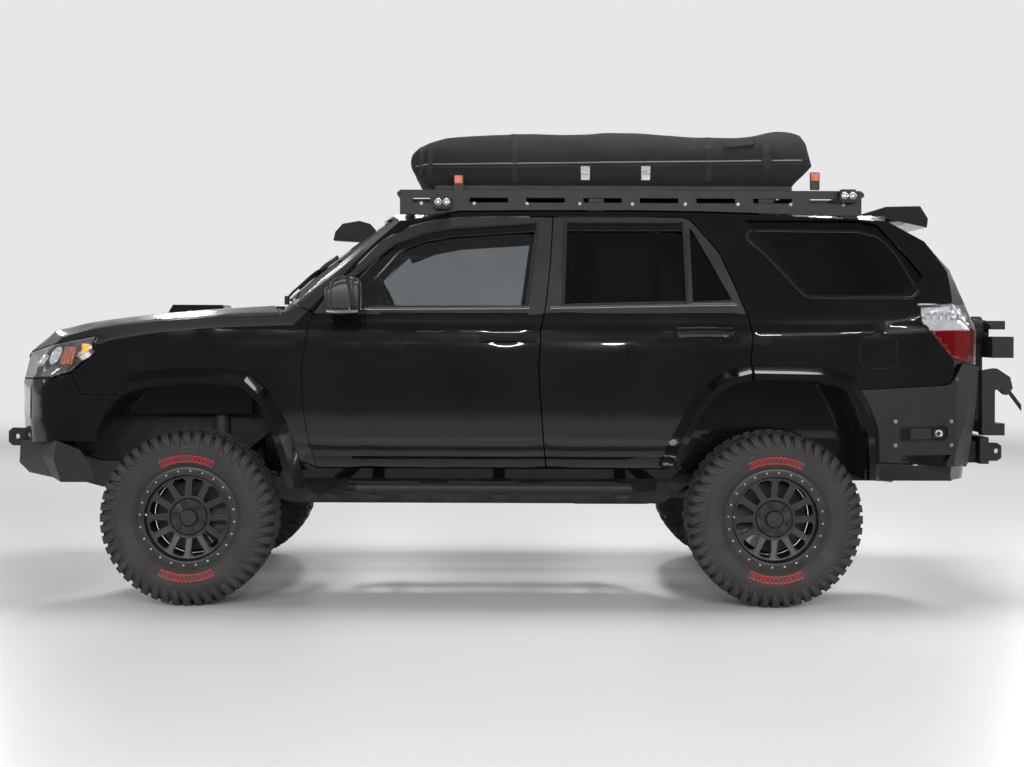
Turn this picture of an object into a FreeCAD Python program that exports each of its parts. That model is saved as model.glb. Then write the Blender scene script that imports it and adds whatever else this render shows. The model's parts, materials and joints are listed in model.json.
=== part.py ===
import FreeCAD, Part
import math
import os

# A lifted off-road wagon: body on a ladder frame, millimetres, Z up, nose towards -X.
# Origin: on the floor, below the middle of the overall length, on the centre plane.

V = FreeCAD.Vector
os.makedirs("parts", exist_ok=True)
doc = FreeCAD.newDocument("OffRoadWagon")
sheet = doc.addObject("Spreadsheet::Sheet", "dim")

SIZES = [
    # Overall
    ("wheelbase", 2790, "front axle to rear axle"),
    ("nose_overhang", 945, "front axle to the fascia"),
    ("tail_overhang", 1098, "rear axle to the tailgate"),
    ("tab_reach", 54, "front recovery tab ahead of the fascia"),
    ("lever_reach", 173, "carrier lever behind the tailgate"),
    ("roof_height", 1900, "floor to the top of the windscreen"),
    ("body_half_width", 908, "centre plane to the widest door skin"),
    ("side_overrun", 120, "cutters past the body side"),
    # Wheels
    ("tyre_radius", 418, "to the lug tips"),
    ("tyre_width", 300, "over the side lugs"),
    ("track", 1650, "between the tyre centre planes"),
    ("lug_depth", 13, "tread groove depth"),
    ("lug_count", 32, "shoulder lugs a side"),
    ("shoulder_width", 74, "width of the shoulder lugs"),
    ("side_lug_drop", 62, "side lugs reach in from the tread"),
    ("bead_radius", 219, "tyre bead seat"),
    ("ring_radius", 243, "beadlock ring, outer"),
    ("ring_inner_radius", 205, "beadlock ring, inner"),
    ("rim_width", 238, "over both flanges"),
    ("rim_wall", 9, "barrel wall"),
    ("hub_disc_radius", 82, "centre of the wheel face"),
    ("hub_bore_radius", 41, "centre cap"),
    ("window_inner_radius", 104, "wheel window, towards the hub"),
    ("window_outer_radius", 188, "wheel window, towards the ring"),
    ("window_count", 12, "wheel windows"),
    ("face_recess", 40, "wheel face behind the ring face"),
    ("face_thickness", 26, "wheel face"),
    ("disc_radius", 166, "brake disc"),
    ("disc_thickness", 26, "brake disc"),
    ("face_shift", 9, "brake disc inboard of the tyre centre plane"),
    ("hub_length", 62, "hub between disc and wheel face"),
    ("scrub", 70, "kingpin to the tyre centre plane"),
    # Body walls
    ("skin", 26, "hood, fender and fascia walls"),
    ("door_depth", 80, "door below the belt"),
    ("frame_depth", 46, "door frame above the belt"),
    ("jamb_gap", 12, "between a door and the body behind it"),
    ("wall_depth", 134, "body wall below the belt"),
    ("pillar_depth", 104, "pillars above the belt"),
    ("roof_depth", 58, "roof and floor"),
    ("panel_gap", 6, "shut line"),
    ("flange", 44, "body flange behind a shut line"),
    ("glass_depth", 13, "glass behind the skin"),
    ("glass_thickness", 6, "side glass"),
    ("seat_gap", 0.3, "seated pieces"),
    ("lamp_depth", 64, "lamp bodies"),
    ("tailgate_depth", 72, "tailgate wall"),
    ("bulkhead", 20, "wall before the cabin"),
    ("tub_wall", 8, "wheel tubs and liners"),
    ("flare_width", 78, "arch lip in side view"),
    ("flare_reach", 46, "arch lip past the widest skin"),
    ("bar_height", 20, "grille bars"),
    ("mirror_stand", 34, "mirror head off the skin"),
    ("mirror_width", 132, "mirror head across"),
    ("mirror_round", 34, "mirror head corners"),
    ("handle_length", 270, "door handle"),
    ("handle_height", 34, "door handle"),
    ("handle_stand", 24, "grip off the skin"),
    ("handle_thickness", 16, "door handle grip"),
    # Chassis
    ("rail_inner", 380, "centre plane to the rail's inner face"),
    ("rail_width", 70, "frame rail"),
    ("mount_radius", 34, "body mounts"),
    ("kingpin_radius", 14, "ball joint pins"),
    ("kingpin_clearance", 0.4, "pin to eye"),
    ("eye_radius", 28, "arm eyes at the kingpin"),
    ("upper_joint_height", 152, "wheel centre to the upper arm"),
    ("lower_joint_height", 145, "wheel centre to the lower arm"),
    ("upper_arm_thickness", 20, "upper arm"),
    ("lower_arm_thickness", 36, "lower arm"),
    ("arm_inner_span", 180, "arm pivots from the axle line"),
    ("carrier_half_height", 92, "knuckle hub carrier"),
    ("carrier_half_length", 54, "knuckle hub carrier"),
    ("carrier_inner", 22, "hub carrier inboard of the kingpin"),
    ("carrier_outer", 14, "hub carrier outboard of the kingpin"),
    ("hub_bore", 57, "bore round the drive joint"),
    ("joint_radius", 47, "drive joint"),
    ("shaft_radius", 17, "drive shafts"),
    ("axle_drop", 10, "front differential above the wheel centres"),
    ("front_diff_radius", 88, "front differential"),
    ("steer_arm", 120, "kingpin to the tie rod eye"),
    ("steer_arm_height", 52, "wheel centre down to the steering arm"),
    ("steer_arm_thickness", 18, "steering arm"),
    ("steer_arm_width", 30, "steering arm"),
    ("steer_arm_inset", 20, "tie rod eye inboard of the kingpin"),
    ("tie_rod_radius", 10, "tie rods and rack"),
    ("rack_housing_radius", 27, "steering rack housing"),
    ("rack_half_length", 330, "steering rack housing"),
    ("rack_bore_clearance", 1, "rack bar in its housing"),
    ("eye_height", 26, "tie rod eye"),
    ("eye_gap", 6, "tie rod eye under the arm"),
    ("caliper_inner", 96, "caliper from the wheel axis"),
    ("caliper_outer", 181, "caliper from the wheel axis"),
    ("caliper_half_height", 66, "caliper"),
    ("caliper_gap", 6, "caliper to the disc"),
    ("caliper_wall", 22, "caliper sides"),
    ("strut_radius", 41, "front coil"),
    ("strut_rod_radius", 22, "front damper"),
    ("strut_ahead", 92, "coilover behind the axle line"),
    ("strut_low_y", 520, "coilover foot from the centre plane"),
    ("strut_high_y", 503, "coilover top from the centre plane"),
    ("strut_top_height", 950, "coilover top"),
    ("tower_thickness", 14, "coilover tower"),
    ("rear_tube_radius", 44, "rear axle tube"),
    ("rear_diff_radius", 128, "rear differential"),
    ("rear_coil_radius", 46, "rear coil"),
    ("rear_coil_y", 505, "rear coil from the centre plane"),
    ("rear_coil_top", 706, "rear coil top"),
    ("coil_wire", 8, "coil wire radius"),
    ("coil_turns", 6, "coil turns"),
    ("pipe_radius", 28, "exhaust pipe"),
    ("muffler_radius", 70, "muffler"),
    ("prop_radius", 34, "propeller shafts"),
    # Outside equipment
    ("bumper_stand", 18, "rear bumper off the skin"),
    ("bumper_sink", 30, "room cut in the body for the rear bumper"),
    ("lever_radius", 10, "carrier lever"),
    ("hub_plate_radius", 85, "carrier hub plate"),
    ("hub_plate_thickness", 40, "carrier hub plate"),
    ("bolt_circle", 69.85, "wheel bolt circle radius"),
    ("bolt_hole", 6.5, "wheel bolt hole radius"),
    ("step_radius", 29, "side step tube"),
    ("rack_tube_radius", 15, "roof rack tubes"),
    ("rack_plate", 12, "roof rack side plates"),
    ("rack_half_width", 636, "roof rack"),
    ("rack_bars", 9, "roof rack cross bars"),
    ("rack_bar_width", 38, "roof rack cross bars"),
    ("tab_thickness", 25, "recovery tabs"),
    ("tab_y", 420, "recovery tabs from the centre plane"),
    ("tab_bore", 13, "recovery tab bore radius"),
    ("receiver_outer", 32, "rear receiver, half size"),
    ("receiver_inner", 25.4, "rear receiver opening, half size"),
    ("receiver_depth", 190, "rear receiver"),
    ("snorkel_radius", 38, "snorkel duct"),
    ("wheel_grip_radius", 185, "steering wheel"),
    ("wheel_grip_thickness", 15, "steering wheel"),
    ("column_radius", 22, "steering column"),
    ("column_tilt", 25, "steering column, degrees"),
]


def fill_sheet():
    for row, (alias, value, note) in enumerate(SIZES, start=1):
        sheet.set("A%d" % row, alias)
        sheet.set("B%d" % row, str(value))
        sheet.set("C%d" % row, note)
        sheet.setAlias("B%d" % row, alias)
    doc.recompute()


class Dimensions:
    def __getattr__(self, alias):
        return float(sheet.get(alias))


fill_sheet()
dim = Dimensions()
nodes = []

OVERALL = dim.nose_overhang + dim.tab_reach + dim.wheelbase + dim.tail_overhang + dim.lever_reach
FRONT_AXLE = -OVERALL / 2 + dim.nose_overhang + dim.tab_reach
REAR_AXLE = FRONT_AXLE + dim.wheelbase
print("overall", OVERALL, "axles", FRONT_AXLE, REAR_AXLE)


# Body lines in side view. A point is (station, height): station -1 is the nose, 0 the front
# axle, 1 the rear axle, 2 the tail, and height is a share of the roof height.
NOSE_SHARES = [(-0.910, 0.316), (-0.968, 0.368), (-1.000, 0.495), (-0.984, 0.579), (-0.952, 0.634)]
HOOD_SHARES = [(-0.952, 0.634), (-0.899, 0.667), (-0.783, 0.694), (-0.571, 0.715), (-0.296, 0.732),
               (0.000, 0.745), (0.115, 0.756)]
SCREEN_SHARES = [(0.115, 0.756), (0.219, 0.885), (0.326, 1.000)]
ROOF_SHARES = [(0.326, 1.000), (0.387, 1.015), (0.538, 1.023), (0.789, 1.024), (1.100, 1.015),
               (1.537, 1.003)]
BACKLIGHT_SHARES = [(1.537, 1.003), (1.774, 0.916), (1.952, 0.758)]
TAIL_SHARES = [(1.952, 0.758), (1.993, 0.721), (2.000, 0.632), (1.979, 0.474), (1.938, 0.316)]
# Half widths: (height, half width) below and above the belt, and (station, half width).
LOWER_SIDE_SHARES = [(0.316, 0.912), (0.345, 0.956), (0.400, 0.983), (0.526, 0.997), (0.621, 1.000),
                     (0.684, 0.991), (0.716, 0.975), (0.745, 0.949)]
UPPER_SIDE_SHARES = [(0.745, 0.949), (0.863, 0.850), (0.976, 0.732), (1.060, 0.625)]
PLAN_SHARES = [(-1.000, 0.000), (-0.989, 0.275), (-0.958, 0.551), (-0.899, 0.716), (-0.825, 0.826),
               (-0.730, 0.914), (-0.593, 0.960), (-0.317, 0.986), (0.036, 0.994), (0.251, 0.998),
               (0.717, 1.000), (1.000, 0.997), (1.464, 0.980), (1.719, 0.949), (1.829, 0.914),
               (1.902, 0.837), (1.956, 0.661), (1.988, 0.330), (2.000, 0.000)]
# How far the lines shift from the centre plane to the widest skin: (size, power).
NOSE_SWEEP = (0.349, 3.8)
SCREEN_SWEEP = (0.0645, 2.0)
TAIL_SWEEP = (0.219, 4.4)
ROOF_DROP = (0.0684, 3.2)
HOOD_DROP = (0.0632, 4.9)
ACROSS_SHARES = [-1.0, -0.93, -0.84, -0.7, -0.45, -0.2, 0.2, 0.45, 0.7, 0.84, 0.93, 1.0]

DOOR_FRONT_SHARES = [(0.217, 0.345), (0.201, 0.436), (0.194, 0.504), (0.192, 0.592), (0.197, 0.647),
                     (0.203, 0.703), (0.211, 0.734)]
DOOR_TOP_SHARES = [(0.239, 0.793), (0.267, 0.830), (0.324, 0.919), (0.374, 0.958), (0.431, 0.977),
                   (0.502, 0.983)]
DOOR_MEET_SHARES = [(0.622, 0.983), (0.617, 0.869), (0.608, 0.753), (0.599, 0.691), (0.596, 0.609),
                    (0.598, 0.532), (0.605, 0.403), (0.609, 0.345)]
REAR_DOOR_SHARES = [(0.851, 0.983), (0.865, 0.975), (0.911, 0.890), (0.945, 0.764), (0.956, 0.722),
                    (0.961, 0.682), (0.959, 0.619), (0.963, 0.526), (0.896, 0.421), (0.841, 0.345)]
FRONT_WINDOW_SHARES = [(0.287, 0.751), (0.277, 0.821), (0.346, 0.909), (0.397, 0.937), (0.448, 0.951),
                       (0.593, 0.965), (0.574, 0.753)]
REAR_WINDOW_SHARES = [(0.641, 0.757), (0.648, 0.967), (0.850, 0.968), (0.850, 0.765)]
VENT_WINDOW_SHARES = [(0.862, 0.765), (0.862, 0.958), (0.868, 0.946), (0.930, 0.769)]
CARGO_WINDOW_SHARES = [(0.960, 0.978), (1.013, 0.905), (1.148, 0.807), (1.193, 0.783), (1.398, 0.784),
                       (1.562, 0.790), (1.652, 0.816), (1.666, 0.834), (1.588, 0.896), (1.490, 0.966),
                       (1.409, 0.978)]
# Wheel arches, in tyre radii from the axle and from the floor.
FRONT_ARCH_SHARES = [(-1.20, 1.20), (-1.11, 1.44), (-1.06, 1.98), (-0.96, 2.19), (-0.80, 2.38),
                     (-0.67, 2.44), (-0.51, 2.47), (-0.08, 2.52), (0.31, 2.53), (0.61, 2.49),
                     (0.80, 2.31), (0.94, 2.04), (1.06, 1.65), (1.17, 1.20)]
REAR_ARCH_SHARES = [(-1.22, 1.20), (-1.16, 1.42), (-1.06, 1.72), (-0.86, 2.16), (-0.72, 2.37),
                    (-0.50, 2.53), (-0.27, 2.59), (0.52, 2.58), (0.80, 2.48), (0.94, 2.24),
                    (1.04, 1.96), (1.06, 1.66), (1.06, 1.20)]
HEADLAMP_SHARES = [(-1.058, 0.608), (-0.958, 0.622), (-0.759, 0.648), (-0.477, 0.674), (-0.495, 0.628),
                   (-0.606, 0.582), (-0.707, 0.569), (-0.958, 0.561), (-1.058, 0.561)]
TAIL_LAMP_SHARES = [(1.626, 0.762), (1.642, 0.716), (1.777, 0.626), (1.829, 0.615), (2.050, 0.615),
                    (2.050, 0.763)]
FENDER_SHARES = [(-0.306, 0.525), (-0.558, 0.525), (-0.608, 0.583), (-0.790, 0.630), (-0.850, 0.790),
                 (0.110, 0.790), (0.190, 0.745), (0.211, 0.734)]
FASCIA_SHARES = [(-1.100, 0.387), (-0.677, 0.408), (-0.306, 0.408), (-0.306, 0.525), (-0.558, 0.525),
                 (-0.608, 0.583), (-0.790, 0.630), (-0.850, 0.790), (-1.100, 0.790)]
HOOD_PLAN_SHARES = [(-0.965, 0.000), (-0.931, 0.330), (-0.889, 0.551), (-0.815, 0.705), (-0.741, 0.771),
                    (-0.476, 0.809), (0.000, 0.828), (0.104, 0.843), (0.148, 0.838), (0.118, 0.441),
                    (0.104, 0.000)]
REAR_BUMPER_SHARES = [(1.309, 0.542), (1.374, 0.493), (1.412, 0.431), (1.416, 0.364), (1.881, 0.351),
                      (1.985, 0.348), (2.007, 0.358), (2.003, 0.417), (1.952, 0.419), (1.965, 0.555),
                      (1.965, 0.576), (1.929, 0.602), (1.836, 0.611), (1.774, 0.559), (1.740, 0.555)]
# Openings seen from the front or back: (half width, height).
SCREEN_OPENING_SHARES = [(0.760, 0.771), (0.735, 0.790), (0.625, 0.968), (0.590, 0.983)]
GRILLE_OPENING_SHARES = [(0.455, 0.612), (0.520, 0.540), (0.430, 0.470)]
TAILGATE_SHARES = [(0.628, 0.489), (0.650, 0.558), (0.661, 0.621), (0.705, 0.684), (0.760, 0.737),
                   (0.771, 0.761), (0.760, 0.842), (0.722, 0.984), (0.700, 1.080)]
BACKLIGHT_OPENING_SHARES = [(0.660, 0.785), (0.676, 0.800), (0.645, 0.930), (0.600, 0.952)]


def along(station):
    if station < 0:
        return FRONT_AXLE + station * dim.nose_overhang
    if station <= 1:
        return FRONT_AXLE + station * dim.wheelbase
    return REAR_AXLE + (station - 1) * dim.tail_overhang


def up(share):
    return share * dim.roof_height


def out(share):
    return share * dim.body_half_width


def side_points(shares):
    return [(along(station), up(share)) for station, share in shares]


def arch_points(shares, axle):
    return [(axle + x * dim.tyre_radius, z * dim.tyre_radius) for x, z in shares]


def offset(points, distance):
    """Moves a closed outline outwards by a distance, corner by corner."""
    area = sum(a[0] * b[1] - b[0] * a[1] for a, b in zip(points, points[1:] + points[:1]))
    turn = 1 if area > 0 else -1
    result = []
    for k, point in enumerate(points):
        before = points[k - 1]
        after = points[(k + 1) % len(points)]
        first = V(point[0] - before[0], point[1] - before[1], 0).normalize()
        second = V(after[0] - point[0], after[1] - point[1], 0).normalize()
        first_normal = V(first.y, -first.x, 0) * turn
        middle = first_normal + V(second.y, -second.x, 0) * turn
        middle.normalize()
        reach = distance / max(0.5, middle.dot(first_normal))
        result.append((point[0] + middle.x * reach, point[1] + middle.y * reach))
    return result


def smooth(points, count):
    """Points along a curve through the given points."""
    curve = Part.BSplineCurve()
    curve.interpolate([V(a, b, 0) for a, b in points])
    return [(p.x, p.y) for p in curve.discretize(Number=count)]


def closed_wire(corners):
    return Part.makePolygon(corners + corners[:1])


def prism_y(points, low, high):
    face = Part.Face(closed_wire([V(x, low, z) for x, z in points]))
    return face.extrude(V(0, high - low, 0))


def prism_x(points, low, high):
    face = Part.Face(closed_wire([V(low, y, z) for y, z in points]))
    return face.extrude(V(high - low, 0, 0))


def prism_z(points, low, high):
    face = Part.Face(closed_wire([V(x, y, low) for x, y in points]))
    return face.extrude(V(0, 0, high - low))


def both_halves(half):
    """A (half width, height) outline, from its top or bottom, on both sides of the centre."""
    return half + [(-y, z) for y, z in reversed(half)]


def mirrored(shape):
    return shape.mirror(V(0, 0, 0), V(0, 1, 0))


def block(x0, x1, y0, y1, z0, z1):
    return Part.makeBox(x1 - x0, y1 - y0, z1 - z0, V(x0, y0, z0))


def rod(start, end, radius):
    return Part.makeCylinder(radius, (end - start).Length, start, end - start)


def share_of_width(y):
    return min(1.0, abs(y) / dim.body_half_width)


def sweep(pair, y, length):
    return pair[0] * length * share_of_width(y) ** pair[1]


def profile_points(y):
    """The side outline of the body at one distance from the centre plane."""
    nose_shift = sweep(NOSE_SWEEP, y, dim.nose_overhang)
    screen_shift = sweep(SCREEN_SWEEP, y, dim.wheelbase)
    tail_shift = -sweep(TAIL_SWEEP, y, dim.tail_overhang)
    roof_drop = sweep(ROOF_DROP, y, dim.roof_height)
    hood_drop = sweep(HOOD_DROP, y, dim.roof_height)

    def run(shares, shifts, drops, count):
        moved = []
        for (x, z), shift, drop in zip(side_points(shares), shifts, drops):
            moved.append((x + shift, z - drop))
        return smooth(moved, count)

    nose = run(NOSE_SHARES, [nose_shift] * 5, [0, 0, 0, 0, hood_drop], 5)
    hood = run(HOOD_SHARES, [nose_shift * s for s in (1, 1, 0.8, 0.5, 0.2, 0)] + [screen_shift],
               [hood_drop] * 7, 9)
    mid_drop = (hood_drop + roof_drop) / 2
    screen = run(SCREEN_SHARES, [screen_shift, screen_shift, screen_shift * 0.8],
                 [hood_drop, mid_drop, roof_drop], 4)
    roof = run(ROOF_SHARES, [screen_shift * 0.8, screen_shift * 0.6, 0, 0, 0, 0], [roof_drop] * 6, 9)
    backlight = run(BACKLIGHT_SHARES, [0, tail_shift / 2, tail_shift], [roof_drop, roof_drop / 2, 0], 4)
    tail = run(TAIL_SHARES, [tail_shift] * 5, [0] * 5, 7)
    return nose[:-1] + hood[:-1] + screen[:-1] + roof[:-1] + backlight[:-1] + tail


def section_points(lower_depth, upper_depth):
    lower = smooth([(up(z), out(w)) for z, w in LOWER_SIDE_SHARES], 11)
    upper = smooth([(up(z), out(w)) for z, w in UPPER_SIDE_SHARES], 6)
    half = [(w - lower_depth, z) for z, w in lower] + [(w - upper_depth, z) for z, w in upper]
    if lower_depth == upper_depth:
        half.pop(len(lower))
    return both_halves(half)


def plan_points(depth):
    half = [(along(x), out(w)) for x, w in PLAN_SHARES]
    front = smooth(half[:9], 15)
    rear = smooth(half[10:], 15)
    half = front + rear
    return offset(half + [(x, -y) for x, y in reversed(half[1:-1])], -depth)


def envelope(lower_depth, upper_depth, top_depth):
    """The body's outer form, moved inwards by the depth of its sides and of its top and ends."""
    wires = []
    for share in ACROSS_SHARES:
        y = share * (dim.body_half_width + dim.side_overrun)
        outline = offset(profile_points(y), -top_depth)
        wires.append(closed_wire([V(x, y, z) for x, z in outline]))
    lengthwise = Part.makeLoft(wires, True, True)
    low = along(-1) - dim.side_overrun
    high = along(2) + dim.side_overrun
    across = prism_x(section_points(lower_depth, upper_depth), low, high)
    plan = prism_z(plan_points(lower_depth), 0, up(1) + dim.side_overrun)
    return lengthwise.common(across).common(plan)


def half_width_at(z):
    table = LOWER_SIDE_SHARES + UPPER_SIDE_SHARES[1:]
    share = z / dim.roof_height
    for (low, wide), (high, narrow) in zip(table, table[1:]):
        if share <= high:
            return out(wide + (narrow - wide) * (share - low) / (high - low))
    return out(table[-1][1])


DOOR_SLOPE = 0.3


def door_prism(front, top, rear, slopes, gap, side):
    """A door outline whose slanted shut faces let it swing clear: it narrows inwards."""
    outline = offset(side_points(front + top + rear), gap)
    wires = []
    for y in (dim.body_half_width + dim.side_overrun, dim.body_half_width - dim.side_overrun * 4):
        corners = []
        for (x, z), slope in zip(outline, slopes):
            corners.append(V(x - slope * (half_width_at(z) - y), side * y, z))
        wires.append(closed_wire(corners))
    return Part.makeLoft(wires, True, True)


def front_door_prism(gap, side):
    slopes = [0] * (len(DOOR_FRONT_SHARES) + len(DOOR_TOP_SHARES)) + [DOOR_SLOPE] * len(DOOR_MEET_SHARES)
    return door_prism(DOOR_FRONT_SHARES, DOOR_TOP_SHARES, DOOR_MEET_SHARES, slopes, gap, side)


def rear_door_prism(gap, side):
    meet = list(reversed(DOOR_MEET_SHARES))
    slopes = [DOOR_SLOPE] * len(meet) + [DOOR_SLOPE] * 8 + [0, 0]
    return door_prism(meet, [], REAR_DOOR_SHARES, slopes, gap, side)


TAILGATE_SLOPE = 0.06


def tailgate_prism(gap):
    half = [(out(w), up(z)) for w, z in TAILGATE_SHARES]
    outline = offset(both_halves(half), gap)
    wires = []
    for x in (along(1.45), along(2) + dim.side_overrun):
        shift = TAILGATE_SLOPE * (x - along(2))
        wires.append(closed_wire([V(x, y + shift * math.copysign(1, y), z) for y, z in outline]))
    solid = Part.makeLoft(wires, True, True)
    front = along(1.531) - gap
    return solid.common(block(front, along(2) + dim.side_overrun, -out(1), out(1), 0, up(1.2)))


def largest(shape, count=1):
    """The main solids of a cut, without slivers."""
    solids = sorted(shape.Solids, key=lambda solid: -solid.Volume)[:count]
    return solids[0] if count == 1 else Part.makeCompound(solids)


def feature(label, shape):
    item = doc.addObject("Part::Feature", label)
    item.Shape = shape
    nodes.append(item)
    return item


def side_window(shares, gap=0.0):
    reach = dim.body_half_width + dim.side_overrun
    return prism_y(offset(side_points(shares), gap), out(0.4), reach)


OUTER = envelope(0, 0, 0)
UNDER_SKIN = envelope(dim.skin, dim.skin, dim.skin)
UNDER_DOOR = envelope(dim.door_depth, dim.frame_depth, dim.frame_depth)
UNDER_GAP = envelope(dim.door_depth + dim.jamb_gap, dim.frame_depth + dim.jamb_gap,
                     dim.frame_depth + dim.jamb_gap)
INSIDE = envelope(dim.wall_depth, dim.pillar_depth, dim.roof_depth)
SKIN = OUTER.cut(UNDER_SKIN)
DOOR_LAYER = OUTER.cut(UNDER_DOOR)
GAP_LAYER = OUTER.cut(UNDER_GAP)
GLASS_BACK = dim.glass_depth + dim.glass_thickness
GLASS_LAYER = envelope(dim.glass_depth, dim.glass_depth, dim.glass_depth).cut(
    envelope(GLASS_BACK, GLASS_BACK, GLASS_BACK))

FULL = dim.body_half_width + dim.side_overrun
FRONT_ARCH = arch_points(FRONT_ARCH_SHARES, FRONT_AXLE)
REAR_ARCH = arch_points(REAR_ARCH_SHARES, REAR_AXLE)
ARCH_INNER = out(0.51)
TUB_INNER = out(0.62)


def arch_cutter(points, inner):
    one = prism_y(points, inner, FULL)
    return one.fuse(mirrored(one))


def wheel_tub(points, inner, outer, wall):
    """A liner over the wheel, open towards the wheel and closed on its inner side."""
    shell = prism_y(offset(points, wall), inner - wall, outer).cut(prism_y(points, inner, FULL))
    return shell.common(block(-OVERALL, OVERALL, 0, FULL, up(0.32), up(1)))


def flare(points, low_x, high_x, low_z):
    """The lip round an arch: it stands proud of the skin and falls away outwards."""
    wires = []
    for grow, y in ((dim.flare_width, dim.body_half_width - dim.skin),
                    (dim.flare_width, dim.body_half_width - dim.skin / 2),
                    (dim.flare_width * 0.4, dim.body_half_width + dim.flare_reach)):
        wires.append(closed_wire([V(x, y, z) for x, z in offset(points, grow)]))
    solid = Part.makeLoft(wires, True, True).cut(prism_y(points, 0, FULL * 2))
    return solid.common(block(low_x, high_x, 0, FULL * 2, low_z, up(1)))


FRONT_CUT = arch_cutter(FRONT_ARCH, ARCH_INNER)
REAR_CUT = arch_cutter(REAR_ARCH, TUB_INNER)
HOOD_OUTLINE = [(along(x), out(w)) for x, w in HOOD_PLAN_SHARES]
HOOD_OUTLINE += [(x, -y) for x, y in reversed(HOOD_OUTLINE[1:-1])]


def hood_prism(gap):
    return prism_z(offset(HOOD_OUTLINE, gap), up(0.6), up(1))


def headlamp_prism(gap):
    solid = prism_y(offset(side_points(HEADLAMP_SHARES), gap), -FULL, FULL)
    return solid.cut(block(-OVERALL, 0, -out(0.52) + gap, out(0.52) - gap, 0, up(1)))


def tail_lamp_prism(gap):
    solid = prism_y(offset(side_points(TAIL_LAMP_SHARES), gap), -FULL, FULL)
    return solid.cut(tailgate_prism(dim.panel_gap * 2 - gap))


def make_hood():
    panel = SKIN.common(hood_prism(0)).cut(headlamp_prism(dim.panel_gap))
    scoop = Part.makeLoft([
        closed_wire([V(along(x), out(w), up(0.70)) for x, w in
                     ((-0.30, -0.21), (0.03, -0.17), (0.03, 0.17), (-0.30, 0.21))]),
        closed_wire([V(along(x), out(w), up(0.757)) for x, w in
                     ((-0.24, -0.17), (0.01, -0.14), (0.01, 0.14), (-0.24, 0.17))])], True, True)
    panel = panel.fuse(scoop.cut(UNDER_SKIN))
    feature("hood", largest(panel))


def fender_region(gap):
    front = side_points(FENDER_SHARES)
    rear = list(reversed(side_points(DOOR_FRONT_SHARES)))
    return prism_y(offset(front + rear[1:], gap), -FULL, FULL)


def make_fenders():
    panels = SKIN.common(fender_region(-dim.panel_gap / 2))
    panels = panels.cut(hood_prism(dim.panel_gap)).cut(headlamp_prism(dim.panel_gap)).cut(FRONT_CUT)
    lip = flare(FRONT_ARCH, along(-0.306) + dim.panel_gap / 2, along(0.3), up(0.295))
    foot_limit = prism_y(offset(side_points(FENDER_SHARES) + list(reversed(side_points(
        DOOR_FRONT_SHARES)))[1:] + [(along(0.223), up(0.2)), (along(-0.306), up(0.2))],
        -dim.panel_gap / 2), 0, FULL * 2)
    lip = lip.common(foot_limit)
    liner = wheel_tub(FRONT_ARCH, ARCH_INNER + out(0.12), dim.body_half_width - dim.skin / 2, dim.tub_wall)
    liner = liner.common(block(-OVERALL, along(0.09), 0, FULL, up(0.47), up(1)))
    liner = liner.cut(FASCIA_SKIN)
    half = panels.common(block(-OVERALL, OVERALL, out(0.70), FULL, 0, up(1.2))).fuse(lip).fuse(liner)
    half = largest(half)
    feature("front_fenders", Part.makeCompound([half, mirrored(half)]))
    return [half, mirrored(half)]


def make_fascia():
    skin = FASCIA_SKIN
    skin = skin.cut(hood_prism(dim.panel_gap)).cut(headlamp_prism(dim.panel_gap)).cut(FRONT_CUT)
    grille = prism_x(both_halves([(out(w), up(z)) for w, z in GRILLE_OPENING_SHARES]),
                     along(-1.1), along(-0.5))
    skin = skin.cut([grille, FRONT_BUMPER])
    feature("front_fascia", largest(skin))
    bars = []
    layer = envelope(dim.skin / 2, dim.skin / 2, dim.skin / 2).cut(
        envelope(dim.skin, dim.skin, dim.skin))
    for share in (0.492, 0.516, 0.540, 0.564, 0.588):
        slab = block(along(-1.1), along(-0.7), -FULL, FULL, up(share), up(share) + dim.bar_height)
        bars.append(slab)
    posts = [block(along(-1.1), along(-0.7), out(w), out(w) + dim.bar_height, up(0.47), up(0.612))
             for w in (-0.31, -0.01, 0.29)]
    grid = bars[0].multiFuse(bars[1:] + posts)
    feature("grille", layer.common(grille).common(grid).cut(hood_prism(dim.panel_gap)))


def make_lamps():
    layer = OUTER.cut(envelope(dim.lamp_depth, dim.lamp_depth, dim.lamp_depth))
    feature("headlamps", layer.common(headlamp_prism(0)))
    feature("tail_lamps", layer.common(tail_lamp_prism(0)))


def make_doors():
    for end, prism, windows in (("front", front_door_prism, [FRONT_WINDOW_SHARES]),
                                ("rear", rear_door_prism, [REAR_WINDOW_SHARES, VENT_WINDOW_SHARES])):
        solid = DOOR_LAYER.common(prism(0, 1)).cut(REAR_CUT)
        glass = []
        for shares in windows:
            solid = solid.cut(side_window(shares))
            glass.append(GLASS_LAYER.common(side_window(shares, -dim.seat_gap)))
        if end == "rear":
            solid = solid.cut(front_door_prism(dim.panel_gap, 1))
            lip = flare(REAR_ARCH, along(0.5), along(0.9585), up(0.346))
            solid = solid.fuse(lip)
        else:
            solid = solid.fuse(door_mirror())
        solid = solid.fuse(door_handle(end))
        pane = Part.makeCompound(glass) if len(glass) > 1 else glass[0]
        feature("door_%s_right" % end, solid)
        feature("glass_%s_right" % end, pane)
        feature("door_%s_left" % end, mirrored(solid))
        feature("glass_%s_left" % end, mirrored(pane))


def door_mirror():
    x0, x1 = along(0.235), along(0.296)
    z0, z1 = up(0.728), up(0.825)
    y0 = dim.body_half_width + dim.mirror_stand
    head = block(x0, x1, y0, y0 + dim.mirror_width, z0, z1)
    head = head.makeFillet(dim.mirror_round, head.Edges)
    arm = block(along(0.25), along(0.285), half_width_at(up(0.74)) - dim.frame_depth,
                y0 + dim.mirror_width / 3, up(0.738), up(0.758))
    return head.fuse(arm)


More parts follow.
